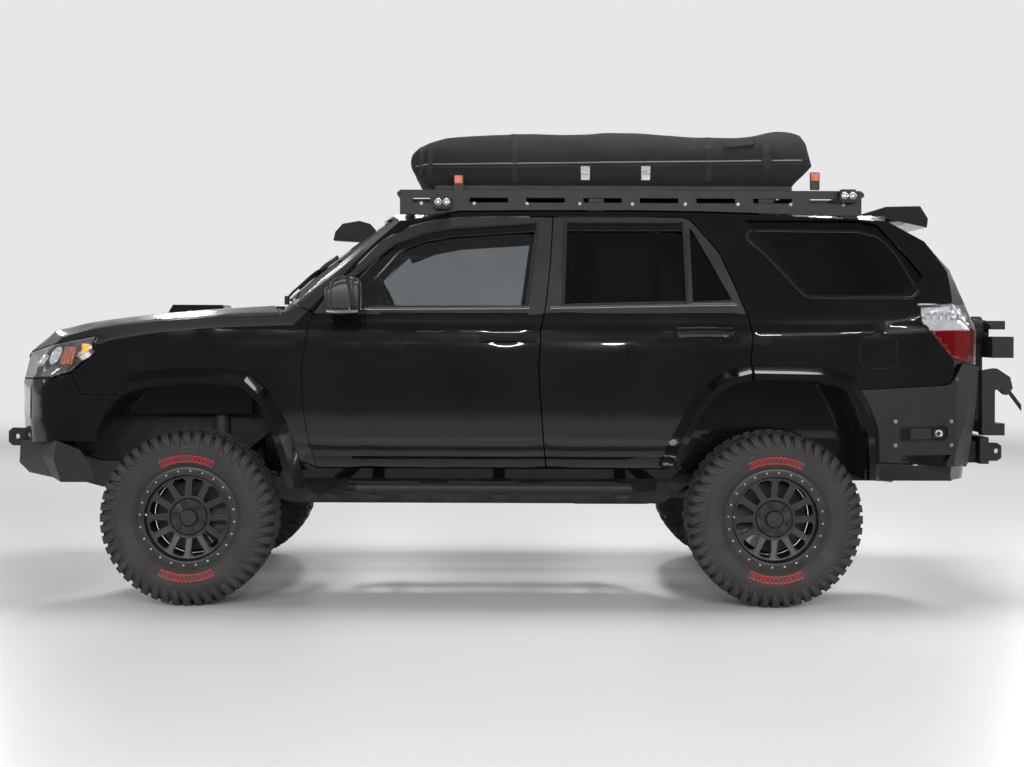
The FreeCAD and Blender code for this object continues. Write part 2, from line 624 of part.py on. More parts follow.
def door_handle(end):
    station = {"front": 0.494, "rear": 0.831}[end]
    height = {"front": 0.665, "rear": 0.682}[end]
    start = along(station)
    y = dim.body_half_width
    grip = block(start, start + dim.handle_length, y + dim.handle_stand,
                 y + dim.handle_stand + dim.handle_thickness, up(height), up(height) + dim.handle_height)
    ends = [block(x, x + dim.handle_height, y - dim.skin, y + dim.handle_stand + dim.handle_thickness / 2,
                  up(height), up(height) + dim.handle_height)
            for x in (start, start + dim.handle_length - dim.handle_height)]
    return grip.multiFuse(ends)


def make_body(fenders):
    cabin = block(along(0.104), OVERALL, -FULL, FULL, 0, up(1.2))
    pans = [share_block(TUNNEL_SHARES), share_block(REAR_PAN_SHARES)]
    pan_walls = [block(b.XMin - dim.tub_wall, b.XMax + dim.tub_wall, b.YMin - dim.tub_wall, b.YMax + dim.tub_wall,
                       b.ZMin, b.ZMax + dim.tub_wall) for b in [pan.BoundBox for pan in pans]]
    hollow = INSIDE.cut(pan_walls)
    solid = OUTER.cut([hollow] + pans).common(cabin)
    solid = solid.cut(SKIN_GAP.common(fender_region(dim.panel_gap / 2)))
    solid = solid.cut(SKIN_GAP.common(hood_prism(dim.panel_gap)))
    for prism in (front_door_prism, rear_door_prism):
        for side in (1, -1):
            solid = solid.cut(GAP_LAYER.common(prism(dim.panel_gap, side)))
            solid = solid.cut(prism(-dim.flange, side))
    tail_pocket = OUTER.cut(UNDER_TAILGATE).common(tailgate_prism(dim.panel_gap))
    solid = solid.cut(tail_pocket).cut(tailgate_prism(-dim.flange))
    bulkhead = UNDER_GAP.common(block(along(0.109), along(0.109) + dim.bulkhead, -FULL, FULL, 0, up(0.75)))
    solid = solid.fuse(bulkhead.cut(pans[0]))
    solid = solid.cut(FRONT_CUT).cut(REAR_CUT)
    half_tubs = []
    front = wheel_tub(FRONT_ARCH, ARCH_INNER, dim.body_half_width - dim.door_depth - dim.jamb_gap * 2,
                      dim.tub_wall)
    half_tubs.append(front.common(block(along(0.109), along(0.3), 0, FULL, 0, up(1))))
    half_tubs.append(wheel_tub(REAR_ARCH, TUB_INNER, dim.body_half_width - dim.door_depth - dim.jamb_gap * 2,
                               dim.tub_wall))
    lip = flare(REAR_ARCH, along(0.9635), along(1.45), up(0.32))
    bumper_room = prism_y(offset(side_points(REAR_BUMPER_SHARES), dim.panel_gap), -FULL, FULL)
    half_tubs.append(lip)
    half_tubs = [half_tubs[0].common(UNDER_GAP), half_tubs[1].common(UNDER_GAP), half_tubs[2]]
    tubs = half_tubs + [mirrored(tub) for tub in half_tubs]
    solid = solid.multiFuse(tubs)
    solid = solid.cut(BUMPER_LAYER.common(bumper_room))
    for shares in (CARGO_WINDOW_SHARES,):
        window = side_window(shares)
        solid = solid.cut(window).cut(mirrored(window))
    screen = prism_x(both_halves([(out(w), up(z)) for w, z in SCREEN_OPENING_SHARES]),
                     along(0.09), along(0.34))
    solid = solid.cut(screen)
    lamp_layer = OUTER.cut(envelope(dim.lamp_depth + dim.seat_gap, dim.lamp_depth + dim.seat_gap,
                                    dim.lamp_depth + dim.seat_gap))
    solid = solid.cut(lamp_layer.common(tail_lamp_prism(dim.seat_gap)))
    feature("body_shell", largest(solid.cut(fenders)))
    inset = offset(both_halves([(out(w), up(z)) for w, z in SCREEN_OPENING_SHARES]), -dim.seat_gap)
    panes = [GLASS_LAYER.common(prism_x(inset, along(0.09), along(0.34)))]
    pane = largest(GLASS_LAYER.common(side_window(CARGO_WINDOW_SHARES, -dim.seat_gap)))
    panes += [pane, mirrored(pane)]
    feature("fixed_glass", Part.makeCompound(panes))


def make_tailgate():
    solid = OUTER.cut(TAILGATE_BACK).common(tailgate_prism(0))
    opening = prism_x(both_halves([(out(w), up(z)) for w, z in BACKLIGHT_OPENING_SHARES]),
                      along(1.3), along(2.1))
    solid = solid.cut(opening)
    spoiler = Part.makeLoft([
        closed_wire([V(along(x), y, up(z)) for x, z in ((1.545, 0.985), (1.73, 0.962), (1.735, 0.985),
                                                       (1.70, 1.018), (1.545, 1.016))])
        for y in (-out(0.66), out(0.66))], True, True)
    solid = solid.fuse(spoiler.cut(TAILGATE_BACK))
    feature("tailgate", solid)
    inset = offset(both_halves([(out(w), up(z)) for w, z in BACKLIGHT_OPENING_SHARES]), -dim.seat_gap)
    feature("tailgate_glass", GLASS_LAYER.common(prism_x(inset, along(1.3), along(1.99))))


SKIN_GAP = OUTER.cut(envelope(dim.skin + dim.panel_gap, dim.skin + dim.panel_gap, dim.skin + dim.panel_gap))
TAILGATE_BACK = envelope(dim.tailgate_depth, dim.tailgate_depth, dim.frame_depth)
UNDER_TAILGATE = envelope(dim.tailgate_depth + dim.jamb_gap, dim.tailgate_depth + dim.jamb_gap,
                          dim.frame_depth + dim.jamb_gap)
BUMPER_OUTSIDE = envelope(-dim.bumper_stand, -dim.bumper_stand, -dim.bumper_stand)
BUMPER_LAYER = BUMPER_OUTSIDE.cut(envelope(dim.bumper_sink, dim.bumper_sink, dim.bumper_sink))


def share_block(shares):
    x0, x1, y0, y1, z0, z1 = shares
    return block(along(x0), along(x1), out(y0), out(y1), up(z0), up(z1))


def place(shares):
    return V(along(shares[0]), out(shares[1]), up(shares[2]))


# Front bumper sections from the centre to the wing tip, each with its own half width.
BUMPER_SECTION_SHARES = [
    (0.000, [(-0.979, 0.397), (-0.984, 0.337), (-0.931, 0.311), (-0.804, 0.311), (-0.804, 0.358), (-0.804, 0.397)]),
    (0.529, [(-0.979, 0.397), (-0.984, 0.337), (-0.931, 0.311), (-0.804, 0.311), (-0.804, 0.358), (-0.804, 0.397)]),
    (0.771, [(-0.778, 0.405), (-0.804, 0.366), (-0.741, 0.308), (-0.635, 0.305), (-0.635, 0.358), (-0.635, 0.403)]),
    (0.958, [(-0.677, 0.409), (-0.693, 0.363), (-0.656, 0.305), (-0.485, 0.305), (-0.503, 0.347), (-0.561, 0.387)])]
BUMPER_SLOT_SHARES = [(1.549, 0.381), (1.776, 0.381), (1.743, 0.347), (1.558, 0.347)]
BUMPER_CENTRE_SHARES = (1.870, 1.985, -0.604, 0.604, 0.348, 0.404)
BUMPER_FACE_SHARES = (1.966, 2.006, -0.800, 0.800, 0.348, 0.417)
HINGE_LUG_SHARES = (1.930, 2.036, 0.770, 0.888, 0.372, 0.4165)
FRONT_TAB_SHARES = [(-0.800, 0.378), (-0.800, 0.424), (-1.036, 0.427), (-1.057, 0.418), (-1.057, 0.390),
                    (-1.036, 0.380)]
REAR_TAB_SHARES = [(1.940, 0.346), (1.940, 0.396), (2.096, 0.396), (2.116, 0.388), (2.116, 0.356),
                   (2.096, 0.348)]


def recovery_tab(shares, bore_station, bore_height, y):
    half = dim.tab_thickness / 2
    centre = V(along(bore_station), y - dim.tab_thickness, up(bore_height))
    bore = rod(centre, V(centre.x, y + dim.tab_thickness, centre.z), dim.tab_bore)
    return prism_y(side_points(shares), y - half, y + half).cut(bore)


def front_bumper_shape():
    wires = []
    for share, points in BUMPER_SECTION_SHARES:
        wires.append(closed_wire([V(x, out(share), z) for x, z in side_points(points)]))
    half = Part.makeLoft(wires, True, True)
    rails = block(along(-0.912), 0, -dim.rail_inner - dim.rail_width - dim.seat_gap,
                  dim.rail_inner + dim.rail_width + dim.seat_gap, 0, up(0.3375))
    tabs = [recovery_tab(FRONT_TAB_SHARES, -1.011, 0.404, y) for y in (dim.tab_y, -dim.tab_y)]
    return half.fuse(mirrored(half)).cut(rails).multiFuse(tabs)


def hinge_lug():
    """The ledge and the pin that carry the swing-out arm."""
    x = along(CARRIER_HINGE[0]) + dim.lever_radius * 2
    y = out(CARRIER_HINGE[1])
    top = up(ARM_SHARES[5]) + dim.eye_radius
    pin = rod(V(x, y, up(HINGE_LUG_SHARES[4])), V(x, y, top), dim.kingpin_radius)
    return [share_block(HINGE_LUG_SHARES), pin]


def make_rear_bumper():
    region = prism_y(side_points(REAR_BUMPER_SHARES), -FULL, FULL)
    wrap = BUMPER_OUTSIDE.cut(envelope(dim.bumper_sink - dim.panel_gap, dim.bumper_sink - dim.panel_gap,
                                       dim.bumper_sink - dim.panel_gap)).common(region)
    opening = block(REAR_AXLE, OVERALL, -out(0.688), out(0.688), up(0.417), up(1))
    wrap = wrap.cut(opening)
    slot = prism_y(side_points(BUMPER_SLOT_SHARES), out(0.8), FULL)
    wrap = wrap.cut([slot, mirrored(slot)])
    centre = share_block(BUMPER_CENTRE_SHARES).multiFuse([share_block(BUMPER_FACE_SHARES)] + hinge_lug())
    rails = block(0, along(1.886), -dim.rail_inner - dim.rail_width - dim.seat_gap,
                  dim.rail_inner + dim.rail_width + dim.seat_gap, 0, up(0.3585))
    tabs = [recovery_tab(REAR_TAB_SHARES, 2.094, 0.374, y) for y in (dim.tab_y, -dim.tab_y)]
    hitch_x = along(2.06)
    outer = dim.receiver_outer
    inner = dim.receiver_inner
    low = up(0.3485) - dim.seat_gap
    receiver = block(hitch_x - dim.receiver_depth, hitch_x, -outer, outer, low - outer * 2, low)
    hollow = block(hitch_x - dim.receiver_depth * 0.9, hitch_x + outer, -inner, inner,
                   low - outer - inner, low - outer + inner)
    feature("hitch_receiver", receiver.cut(hollow))
    room = receiver.BoundBox
    gap = dim.seat_gap
    room = block(room.XMin - gap, room.XMax, -outer - gap, outer + gap, 0, low + gap)
    solid = wrap.fuse(centre.cut(rails)).multiFuse(tabs).cut(room)
    solid = largest(solid)
    wing_seam = out(0.688)
    wing = largest(solid.common(block(0, OVERALL, wing_seam, FULL * 2, 0, up(1))))
    middle = largest(solid.common(block(0, OVERALL, -wing_seam, wing_seam, 0, up(1))))
    feature("rear_bumper", Part.makeCompound([middle, wing, mirrored(wing)]))


CARRIER_HINGE = (1.993, 0.848)
ARM_SHARES = (2.018, 2.074, -0.700, 0.848, 0.4225, 0.4535)
LATCH_POST_SHARES = (1.972, 2.030, -0.700, -0.630, 0.4225, 0.590)
LATCH_PLATE_SHARES = [(1.985, 0.527), (1.985, 0.590), (2.040, 0.596), (2.098, 0.574), (2.110, 0.545),
                      (2.085, 0.527), (2.050, 0.545)]
HUB_POST_SHARES = (2.022, 2.064, -0.320, -0.187, 0.4225, 0.700)
HUB_CENTRE_SHARES = (2.031, -0.253, 0.6875)
PLATE_BOX_SHARES = (2.060, 2.157, -0.530, -0.330, 0.622, 0.678)
PLATE_BRACKET_SHARES = (2.064, 2.130, -0.480, -0.270, 0.697, 0.720)


def make_carrier():
    x0 = along(CARRIER_HINGE[0])
    y0 = out(CARRIER_HINGE[1])
    low = up(ARM_SHARES[4])
    high = up(ARM_SHARES[5])
    knuckle = rod(V(x0 + dim.lever_radius * 2, y0, low), V(x0 + dim.lever_radius * 2, y0, high + dim.eye_radius),
                  dim.eye_radius)
    pieces = [share_block(ARM_SHARES), share_block(LATCH_POST_SHARES), share_block(HUB_POST_SHARES),
              share_block(PLATE_BOX_SHARES), share_block(PLATE_BRACKET_SHARES)]
    pieces.append(prism_y(side_points(LATCH_PLATE_SHARES), out(-0.700), out(-0.610)))
    hub = place(HUB_CENTRE_SHARES)
    pieces.append(rod(hub, hub + V(dim.hub_plate_thickness, 0, 0), dim.hub_plate_radius))
    pieces.append(rod(hub, hub + V(dim.hub_plate_thickness * 2, 0, 0), dim.eye_radius))
    tie = V(along(2.080), out(-0.300), up(0.640))
    pieces.append(rod(V(tie.x, out(-0.253), tie.z), V(tie.x, out(-0.450), tie.z), dim.lever_radius))
    pieces.append(rod(V(along(2.045), out(-0.253), tie.z), V(tie.x, out(-0.253), tie.z), dim.lever_radius))
    tip = V(OVERALL / 2, out(-0.655), up(0.494))
    start = V(along(2.085), tip.y, up(0.550))
    lever = rod(start, tip + (tip - start) * 0.2, dim.lever_radius)
    pieces.append(lever.common(block(0, OVERALL / 2, -FULL, FULL, 0, up(1))))
    solid = knuckle.multiFuse(pieces)
    pin_room = rod(V(x0 + dim.lever_radius * 2, y0, 0), V(x0 + dim.lever_radius * 2, y0, up(1)),
                   dim.kingpin_radius + dim.kingpin_clearance)
    bolts = []
    for k in range(6):
        angle = math.radians(60 * k)
        start = hub + V(-dim.hub_plate_thickness, dim.bolt_circle * math.cos(angle), dim.bolt_circle * math.sin(angle))
        bolts.append(rod(start, start + V(dim.hub_plate_thickness * 3, 0, 0), dim.bolt_hole))
    feature("carrier", solid.cut([pin_room] + bolts))


def make_side_steps():
    z = up(0.296)
    y = out(1.024)
    start = along(0.238) + dim.step_radius
    end = along(0.803) - dim.step_radius
    corner = dim.step_radius * 4
    inner = out(0.90)
    points = [V(start, inner, z), V(start + corner, y, z), V(end - corner, y, z), V(end, inner, z)]
    pieces = [rod(a, b, dim.step_radius) for a, b in zip(points, points[1:])]
    pieces += [Part.makeSphere(dim.step_radius, point) for point in points]
    edge = dim.rail_inner + dim.rail_width + dim.seat_gap
    for station in STEP_ARM_STATIONS:
        x = along(station)
        arm_low = up(0.270)
        pieces.append(block(x - dim.step_radius, x + dim.step_radius, edge, y, arm_low, arm_low + dim.step_radius))
        pieces.append(block(x - dim.step_radius, x + dim.step_radius, y - dim.step_radius, y, arm_low, z))
    half = pieces[0].multiFuse(pieces[1:])
    feature("side_steps", Part.makeCompound([half, mirrored(half)]))


STEP_ARM_STATIONS = [0.320, 0.530, 0.740]
RACK_SIDE_SHARES = [(0.353, 0.990), (0.353, 1.041), (1.428, 1.041), (1.428, 0.990)]
RACK_TOP_SHARES = (0.353, 1.428, -0.696, 0.696, 1.034, 1.055)
RACK_FOOT_STATIONS = [0.420, 0.700, 1.000, 1.380]


def make_rack():
    half = dim.rack_half_width
    above = envelope(-dim.side_overrun, -dim.side_overrun, -dim.side_overrun)
    plate = prism_y(side_points(RACK_SIDE_SHARES), half - dim.rack_plate, half).common(above.cut(RACK_FLOOR))
    slots = []
    x0, x1 = along(RACK_TOP_SHARES[0]), along(RACK_TOP_SHARES[1])
    count = int(dim.rack_bars) - 1
    pitch = (x1 - x0 - dim.rack_bar_width) / count
    for k in range(count):
        start = x0 + dim.rack_bar_width + pitch * k
        slots.append(block(start + dim.rack_bar_width * 0.7, start + pitch - dim.rack_bar_width * 1.7, 0, FULL,
                           up(1.0225), up(1.034)))
    plate = plate.cut(slots)
    low, high = up(RACK_TOP_SHARES[4]), up(RACK_TOP_SHARES[5])
    pieces = [plate, mirrored(plate)]
    for k in range(count + 1):
        start = x0 + pitch * k
        pieces.append(block(start, start + dim.rack_bar_width, -half, half, low, high))
    rail = block(x0, x1, half - dim.rack_plate * 2, half, low, high)
    pieces += [rail, mirrored(rail)]
    spine = block(x0, x1, -dim.rack_bar_width, dim.rack_bar_width, low, high)
    pieces.append(spine)
    inner = half - dim.rack_plate / 2
    for x in (x0, x1):
        z = (low + high) / 2
        pieces.append(rod(V(x, -inner, z), V(x, inner, z), dim.rack_tube_radius))
    for station in RACK_FOOT_STATIONS:
        x = along(station)
        for side in (1, -1):
            y0, y1 = sorted((side * (half - dim.rack_bar_width * 2), side * (half - dim.rack_plate / 2)))
            foot = block(x - dim.rack_bar_width, x + dim.rack_bar_width, y0, y1, up(0.97), low + dim.rack_plate)
            pieces.append(foot.cut(SEAT_OUTSIDE))
    feature("roof_rack", pieces[0].multiFuse(pieces[1:]))


TENT_SHARES = [(0.412, 1.0553), (0.380, 1.085), (0.365, 1.142), (0.386, 1.172), (0.435, 1.192), (0.509, 1.202),
               (0.683, 1.209), (0.778, 1.212), (1.094, 1.224), (1.159, 1.231), (1.197, 1.203), (1.210, 1.156),
               (1.229, 1.125), (1.206, 1.107), (1.138, 1.069), (1.118, 1.0553)]
TENT_ACROSS_SHARES = [(0.600, 1.0553), (0.650, 1.080), (0.672, 1.120), (0.672, 1.150), (0.640, 1.190),
                      (0.580, 1.212), (0.400, 1.226), (0.000, 1.235)]


def make_tent():
    corners = side_points(TENT_SHARES)
    outline = corners[:1] + smooth(corners[1:-1], 36) + corners[-1:]
    across = [(out(w), up(z)) for w, z in TENT_ACROSS_SHARES]
    across = across + [(-y, z) for y, z in reversed(across[:-1])]
    body = prism_y(outline, -FULL, FULL).common(prism_x(across, along(0.3), along(1.3)))
    feature("roof_tent", body)


SNORKEL_SHARES = [(0.140, 0.905, 0.700), (0.166, 0.985, 0.744), (0.236, 0.893, 0.855), (0.268, 0.868, 0.926)]
SNORKEL_HEAD_SHARES = [(0.186, 0.960), (0.190, 0.985), (0.205, 1.010), (0.240, 1.019), (0.262, 1.010),
                       (0.290, 0.962), (0.284, 0.925), (0.252, 0.925), (0.245, 0.955)]


def make_snorkel():
    points = [place(p) for p in SNORKEL_SHARES]
    pieces = [rod(a, b, dim.snorkel_radius) for a, b in zip(points, points[1:])]
    pieces += [Part.makeSphere(dim.snorkel_radius, p) for p in points[1:]]
    duct = pieces[0].multiFuse(pieces[1:])
    head = prism_y(side_points(SNORKEL_HEAD_SHARES), out(0.820), out(0.945))
    feature("snorkel", largest(duct.fuse(head).cut(SEAT_OUTSIDE)))


def seat_piece(shares, y0, y1):
    return prism_y(side_points(shares), out(y0), out(y1))


def make_cabin():
    front = share_block(SEAT_BASE_SHARES).multiFuse([
        share_block(SEAT_CUSHION_SHARES), seat_piece(SEAT_BACK_SHARES, 0.160, 0.700),
        seat_piece(HEADREST_SHARES, 0.280, 0.580)])
    post = block(along(0.672), along(0.685), out(0.40), out(0.46), up(0.80), up(0.88))
    front = front.fuse(post)
    bench = share_block(BENCH_BASE_SHARES).multiFuse([
        share_block(BENCH_CUSHION_SHARES), seat_piece(BENCH_BACK_SHARES, -0.590, 0.590)])
    for y0, y1 in ((-0.480, -0.200), (-0.130, 0.130), (0.200, 0.480)):
        bench = bench.fuse(seat_piece(BENCH_REST_SHARES, y0, y1))
        middle = (y0 + y1) / 2
        bench = bench.fuse(block(along(0.992), along(1.006), out(middle - 0.03), out(middle + 0.03),
                                 up(0.78), up(0.85)))
    feature("seats", Part.makeCompound([front, mirrored(front), bench]))
    centre = place(STEERING_SHARES)
    lean = math.radians(dim.column_tilt)
    axis = V(math.cos(lean), 0, math.sin(lean))
    dash = share_block(DASH_SHARES).common(INSIDE)
    sleeve = rod(centre - axis * dim.wheel_grip_radius * 0.23, centre - axis * dim.wheel_grip_radius * 1.4,
                 dim.column_radius * 1.5)
    feature("dashboard", dash.fuse(sleeve))
    grip = [V(dim.wheel_grip_radius + dim.wheel_grip_thickness * math.cos(a), 0, dim.wheel_grip_thickness * math.sin(a))
            for a in [math.radians(45 * k) for k in range(8)]]
    ring = Part.Face(closed_wire(grip)).revolve(V(0, 0, 0), V(0, 0, 1), 360)
    ring.Placement = FreeCAD.Placement(centre, FreeCAD.Rotation(V(0, 0, 1), axis))
    hub = rod(centre - axis * dim.wheel_grip_radius * 0.2, centre, dim.column_radius * 2)
    side_way = V(0, 1, 0)
    down_way = axis.cross(side_way)
    spokes = [rod(centre - axis * dim.column_radius, centre + way * dim.wheel_grip_radius,
                  dim.wheel_grip_thickness * 0.7) for way in (side_way, side_way * -1, down_way)]
    feature("steering_wheel", ring.multiFuse([hub] + spokes))






def pipe_line(shares, radius):
    """Straight tubes from point to point with balls at the bends."""
    points = [place(p) for p in shares]
    pieces = [rod(a, b, radius) for a, b in zip(points, points[1:])]
    pieces += [Part.makeSphere(radius, p) for p in points[1:-1]]
    return pieces[0].multiFuse(pieces[1:]) if len(pieces) > 1 else pieces[0]


ENGINE_SHARES = (-0.349, 0.097, -0.297, 0.297, 0.321, 0.632)
RAIL_SHARES = [(-0.910, 0.337), (0.040, 0.337), (0.130, 0.300), (0.810, 0.300), (0.889, 0.379),
               (1.319, 0.379), (1.464, 0.358), (1.883, 0.358), (1.883, 0.295), (1.428, 0.295),
               (1.282, 0.316), (0.903, 0.316), (0.824, 0.232), (0.160, 0.232), (0.075, 0.268),
               (-0.910, 0.268)]
CROSS_SHARES = [(-0.910, -0.836, 0.274, 0.326), (-0.063, 0.022, 0.284, 0.316), (0.344, 0.373, 0.232, 0.247),
                (0.609, 0.638, 0.232, 0.247), (0.867, 0.889, 0.321, 0.342), (1.291, 1.346, 0.321, 0.342),
                (1.820, 1.883, 0.300, 0.353)]
BODY_MOUNT_SHARES = [0.14, 0.32, 0.52, 0.72]
TUNNEL_SHARES = (0.05, 0.538, -0.209, 0.209, 0.295, 0.427)
REAR_PAN_SHARES = (0.806, 2.000, -0.608, 0.608, 0.295, 0.405)
FUEL_TANK_SHARES = (0.663, 0.805, -0.4182, -0.066, 0.226, 0.308)
DASH_SHARES = (0.172, 0.315, -0.815, 0.815, 0.579, 0.753)
SEAT_BASE_SHARES = (0.462, 0.616, 0.264, 0.617, 0.3475, 0.463)
SEAT_CUSHION_SHARES = (0.437, 0.631, 0.154, 0.705, 0.463, 0.542)
SEAT_BACK_SHARES = [(0.604, 0.520), (0.650, 0.520), (0.699, 0.821), (0.670, 0.842), (0.645, 0.821)]
HEADREST_SHARES = [(0.663, 0.847), (0.699, 0.847), (0.703, 0.921), (0.681, 0.937), (0.667, 0.921)]
BENCH_BASE_SHARES = (0.822, 0.932, -0.545, 0.545, 0.4094, 0.489)
BENCH_CUSHION_SHARES = (0.771, 0.953, -0.595, 0.595, 0.489, 0.553)
BENCH_BACK_SHARES = [(0.932, 0.530), (0.966, 0.530), (1.018, 0.789), (0.982, 0.811), (0.964, 0.789)]
BENCH_REST_SHARES = [(0.982, 0.816), (1.027, 0.816), (1.036, 0.884), (0.996, 0.895), (0.984, 0.884)]
GEARBOX_LINE_SHARES = [(0.0995, 0.000, 0.343), (0.440, 0.000, 0.305)]
GEARBOX_SHARES = [(0.00, 1.10), (0.03, 1.10), (0.04, 1.02), (0.20, 0.92), (0.30, 0.72), (0.68, 0.70), (0.72, 0.78),
                  (0.90, 0.78), (0.93, 0.48), (1.00, 0.45)]
TRANSFER_SHARES = (0.372, 0.418, 0.010, 0.262, 0.252, 0.314)
REAR_SHAFT_SHARES = [(0.4435, 0.000, 0.3047), (0.9345, 0.000, 0.232)]
FRONT_SHAFT_SHARES = [(0.3705, 0.187, 0.287), (0.0405, 0.098, 0.236)]
EXHAUST_SHARES = [(0.151, 0.330, 0.274), (0.660, 0.330, 0.274)]
MUFFLER_SHARES = [(0.660, 0.330, 0.271), (0.817, 0.330, 0.271)]
EXHAUST_TAIL_SHARES = [(0.817, 0.330, 0.274), (0.918, 0.330, 0.295), (1.237, 0.330, 0.295),
                       (1.774, 0.330, 0.268)]
HANGER_SHARES = [(0.300, 0.265, 0.280), (0.740, 0.262, 0.277), (1.100, 0.290, 0.330), (1.700, 0.268, 0.312)]
STEERING_SHARES = (0.337, -0.419, 0.737)


def make_chassis():
    outline = side_points(RAIL_SHARES)
    rail = prism_y(outline, dim.rail_inner, dim.rail_inner + dim.rail_width)
    pieces = [rail, mirrored(rail)]
    inner = dim.rail_inner
    for x0, x1, z0, z1 in CROSS_SHARES:
        pieces.append(block(along(x0), along(x1), -inner, inner, up(z0), up(z1)))
    mount_y = dim.rail_inner + dim.rail_width / 2
    floor = OUTER.BoundBox.ZMin
    for station in BODY_MOUNT_SHARES:
        for side in (1, -1):
            foot = V(along(station), side * mount_y, up(0.299))
            pieces.append(rod(foot, V(foot.x, foot.y, up(0.316)), dim.mount_radius))
    rear_floor = up(REAR_PAN_SHARES[5])
    for station in (1.10, 1.70):
        for side in (1, -1):
            foot = V(along(station), side * mount_y, up(0.357))
            pieces.append(rod(foot, V(foot.x, foot.y, rear_floor), dim.mount_radius))
    pieces += front_towers() + rear_coil_pads()
    feature("ladder_frame", pieces[0].multiFuse(pieces[1:]))


def front_towers():
    x0 = FRONT_AXLE + dim.strut_ahead - dim.strut_radius
    x1 = FRONT_AXLE + dim.strut_ahead + dim.strut_radius
    rail_outer = dim.rail_inner + dim.rail_width
    wall = block(x0, x1, rail_outer - dim.rail_width / 2, rail_outer - dim.rail_width / 2 + dim.tower_thickness,
                 up(0.33), dim.strut_top_height)
    cap = block(x0, x1, rail_outer - dim.rail_width / 2, dim.strut_high_y + dim.strut_radius,
                dim.strut_top_height, dim.strut_top_height + dim.tower_thickness)
    return [wall, cap, mirrored(wall), mirrored(cap)]


def rear_coil_pads():
    pad = block(REAR_AXLE - dim.rear_coil_radius, REAR_AXLE + dim.rear_coil_radius,
                dim.rail_inner + dim.rail_width / 2, dim.rear_coil_y + dim.rear_coil_radius,
                dim.rear_coil_top, dim.rear_coil_top + dim.tower_thickness)
    return [pad, mirrored(pad)]


def make_power_train():
    engine = doc.addObject("Part::Box", "engine_block")
    front = "-(dim.nose_overhang + dim.tab_reach + dim.wheelbase + dim.tail_overhang + dim.lever_reach) / 2"
    front += " + dim.nose_overhang + dim.tab_reach"
    x0, x1, y0, y1, z0, z1 = ENGINE_SHARES
    engine.setExpression("Length", "dim.nose_overhang * %s + dim.wheelbase * %s" % (-x0, x1))
    engine.setExpression("Width", "dim.body_half_width * %s" % (y1 - y0))
    engine.setExpression("Height", "dim.roof_height * %s" % (z1 - z0))
    engine.setExpression(".Placement.Base.x", "%s + dim.nose_overhang * %s" % (front, x0))
    engine.setExpression(".Placement.Base.y", "dim.body_half_width * %s" % y0)
    engine.setExpression(".Placement.Base.z", "dim.roof_height * %s" % z0)
    nodes.append(engine)
    start = place(GEARBOX_LINE_SHARES[0])
    run = place(GEARBOX_LINE_SHARES[1]) - start
    half = [V(run.Length * x, dim.rear_diff_radius * r, 0) for x, r in GEARBOX_SHARES]
    face = Part.Face(closed_wire([V(0, 0, 0)] + half + [V(run.Length, 0, 0)]))
    gearbox = face.revolve(V(0, 0, 0), V(1, 0, 0), 360)
    gearbox.Placement = FreeCAD.Placement(start, FreeCAD.Rotation(V(1, 0, 0), run))
    transfer = share_block(TRANSFER_SHARES)
    gearbox = gearbox.fuse(transfer)
    shafts = [pipe_line(REAR_SHAFT_SHARES, dim.prop_radius), pipe_line(FRONT_SHAFT_SHARES, dim.prop_radius)]
    feature("driveline", Part.makeCompound([gearbox] + shafts))
    pipe = pipe_line(EXHAUST_SHARES, dim.pipe_radius)
    muffler = pipe_line(MUFFLER_SHARES, dim.muffler_radius)
    tail = pipe_line(EXHAUST_TAIL_SHARES, dim.pipe_radius)
    hangers = []
    for station, low, high in HANGER_SHARES:
        hangers.append(block(along(station), along(station) + dim.eye_radius, out(0.330),
                             dim.rail_inner - dim.seat_gap, up(low), up(high)))
    feature("exhaust", pipe.multiFuse([muffler, tail] + hangers))
    feature("fuel_tank", share_block(FUEL_TANK_SHARES))


KINGPIN_Y = dim.track / 2 - dim.scrub
CENTRE = dim.tyre_radius


def arm(height, thickness, inner_y, tip_half):
    """A wishbone from its two frame pivots to the eye at the kingpin."""
    x = FRONT_AXLE
    neck_y = KINGPIN_Y - dim.scrub
    outline = [(x - dim.arm_inner_span, inner_y), (x + dim.arm_inner_span, inner_y),
               (x + dim.arm_inner_span, inner_y + dim.eye_radius), (x + tip_half, neck_y),
               (x + tip_half, KINGPIN_Y), (x - tip_half, KINGPIN_Y), (x - tip_half, neck_y),
               (x - dim.arm_inner_span, inner_y + dim.eye_radius)]
    solid = prism_z(outline, height, height + thickness)
    window = [(x - dim.arm_inner_span * 0.86, inner_y + dim.eye_radius),
              (x + dim.arm_inner_span * 0.86, inner_y + dim.eye_radius), (x, neck_y + dim.eye_radius / 2)]
    solid = solid.cut(prism_z(window, 0, OVERALL))
    eye = rod(V(x, KINGPIN_Y, height), V(x, KINGPIN_Y, height + thickness), dim.eye_radius)
    bore = rod(V(x, KINGPIN_Y, height - thickness), V(x, KINGPIN_Y, height + thickness * 2),
               dim.kingpin_radius + dim.kingpin_clearance)
    return solid.fuse(eye).cut(bore)


def coil(base, top, radius, wire, turns):
    """A spring as a helix tube with flat end rings."""
    height = (top - base).Length
    helix = Part.makeHelix(height / turns, height, radius - wire)
    corners = [math.radians(60 * k) for k in range(6)]
    profile = closed_wire([V(radius - wire + wire * math.cos(a), 0, wire * math.sin(a)) for a in corners])
    spring = Part.Wire(helix.Edges).makePipeShell([profile], True, True)
    spring.Placement = FreeCAD.Placement(base, FreeCAD.Rotation(V(0, 0, 1), top - base))
    return spring


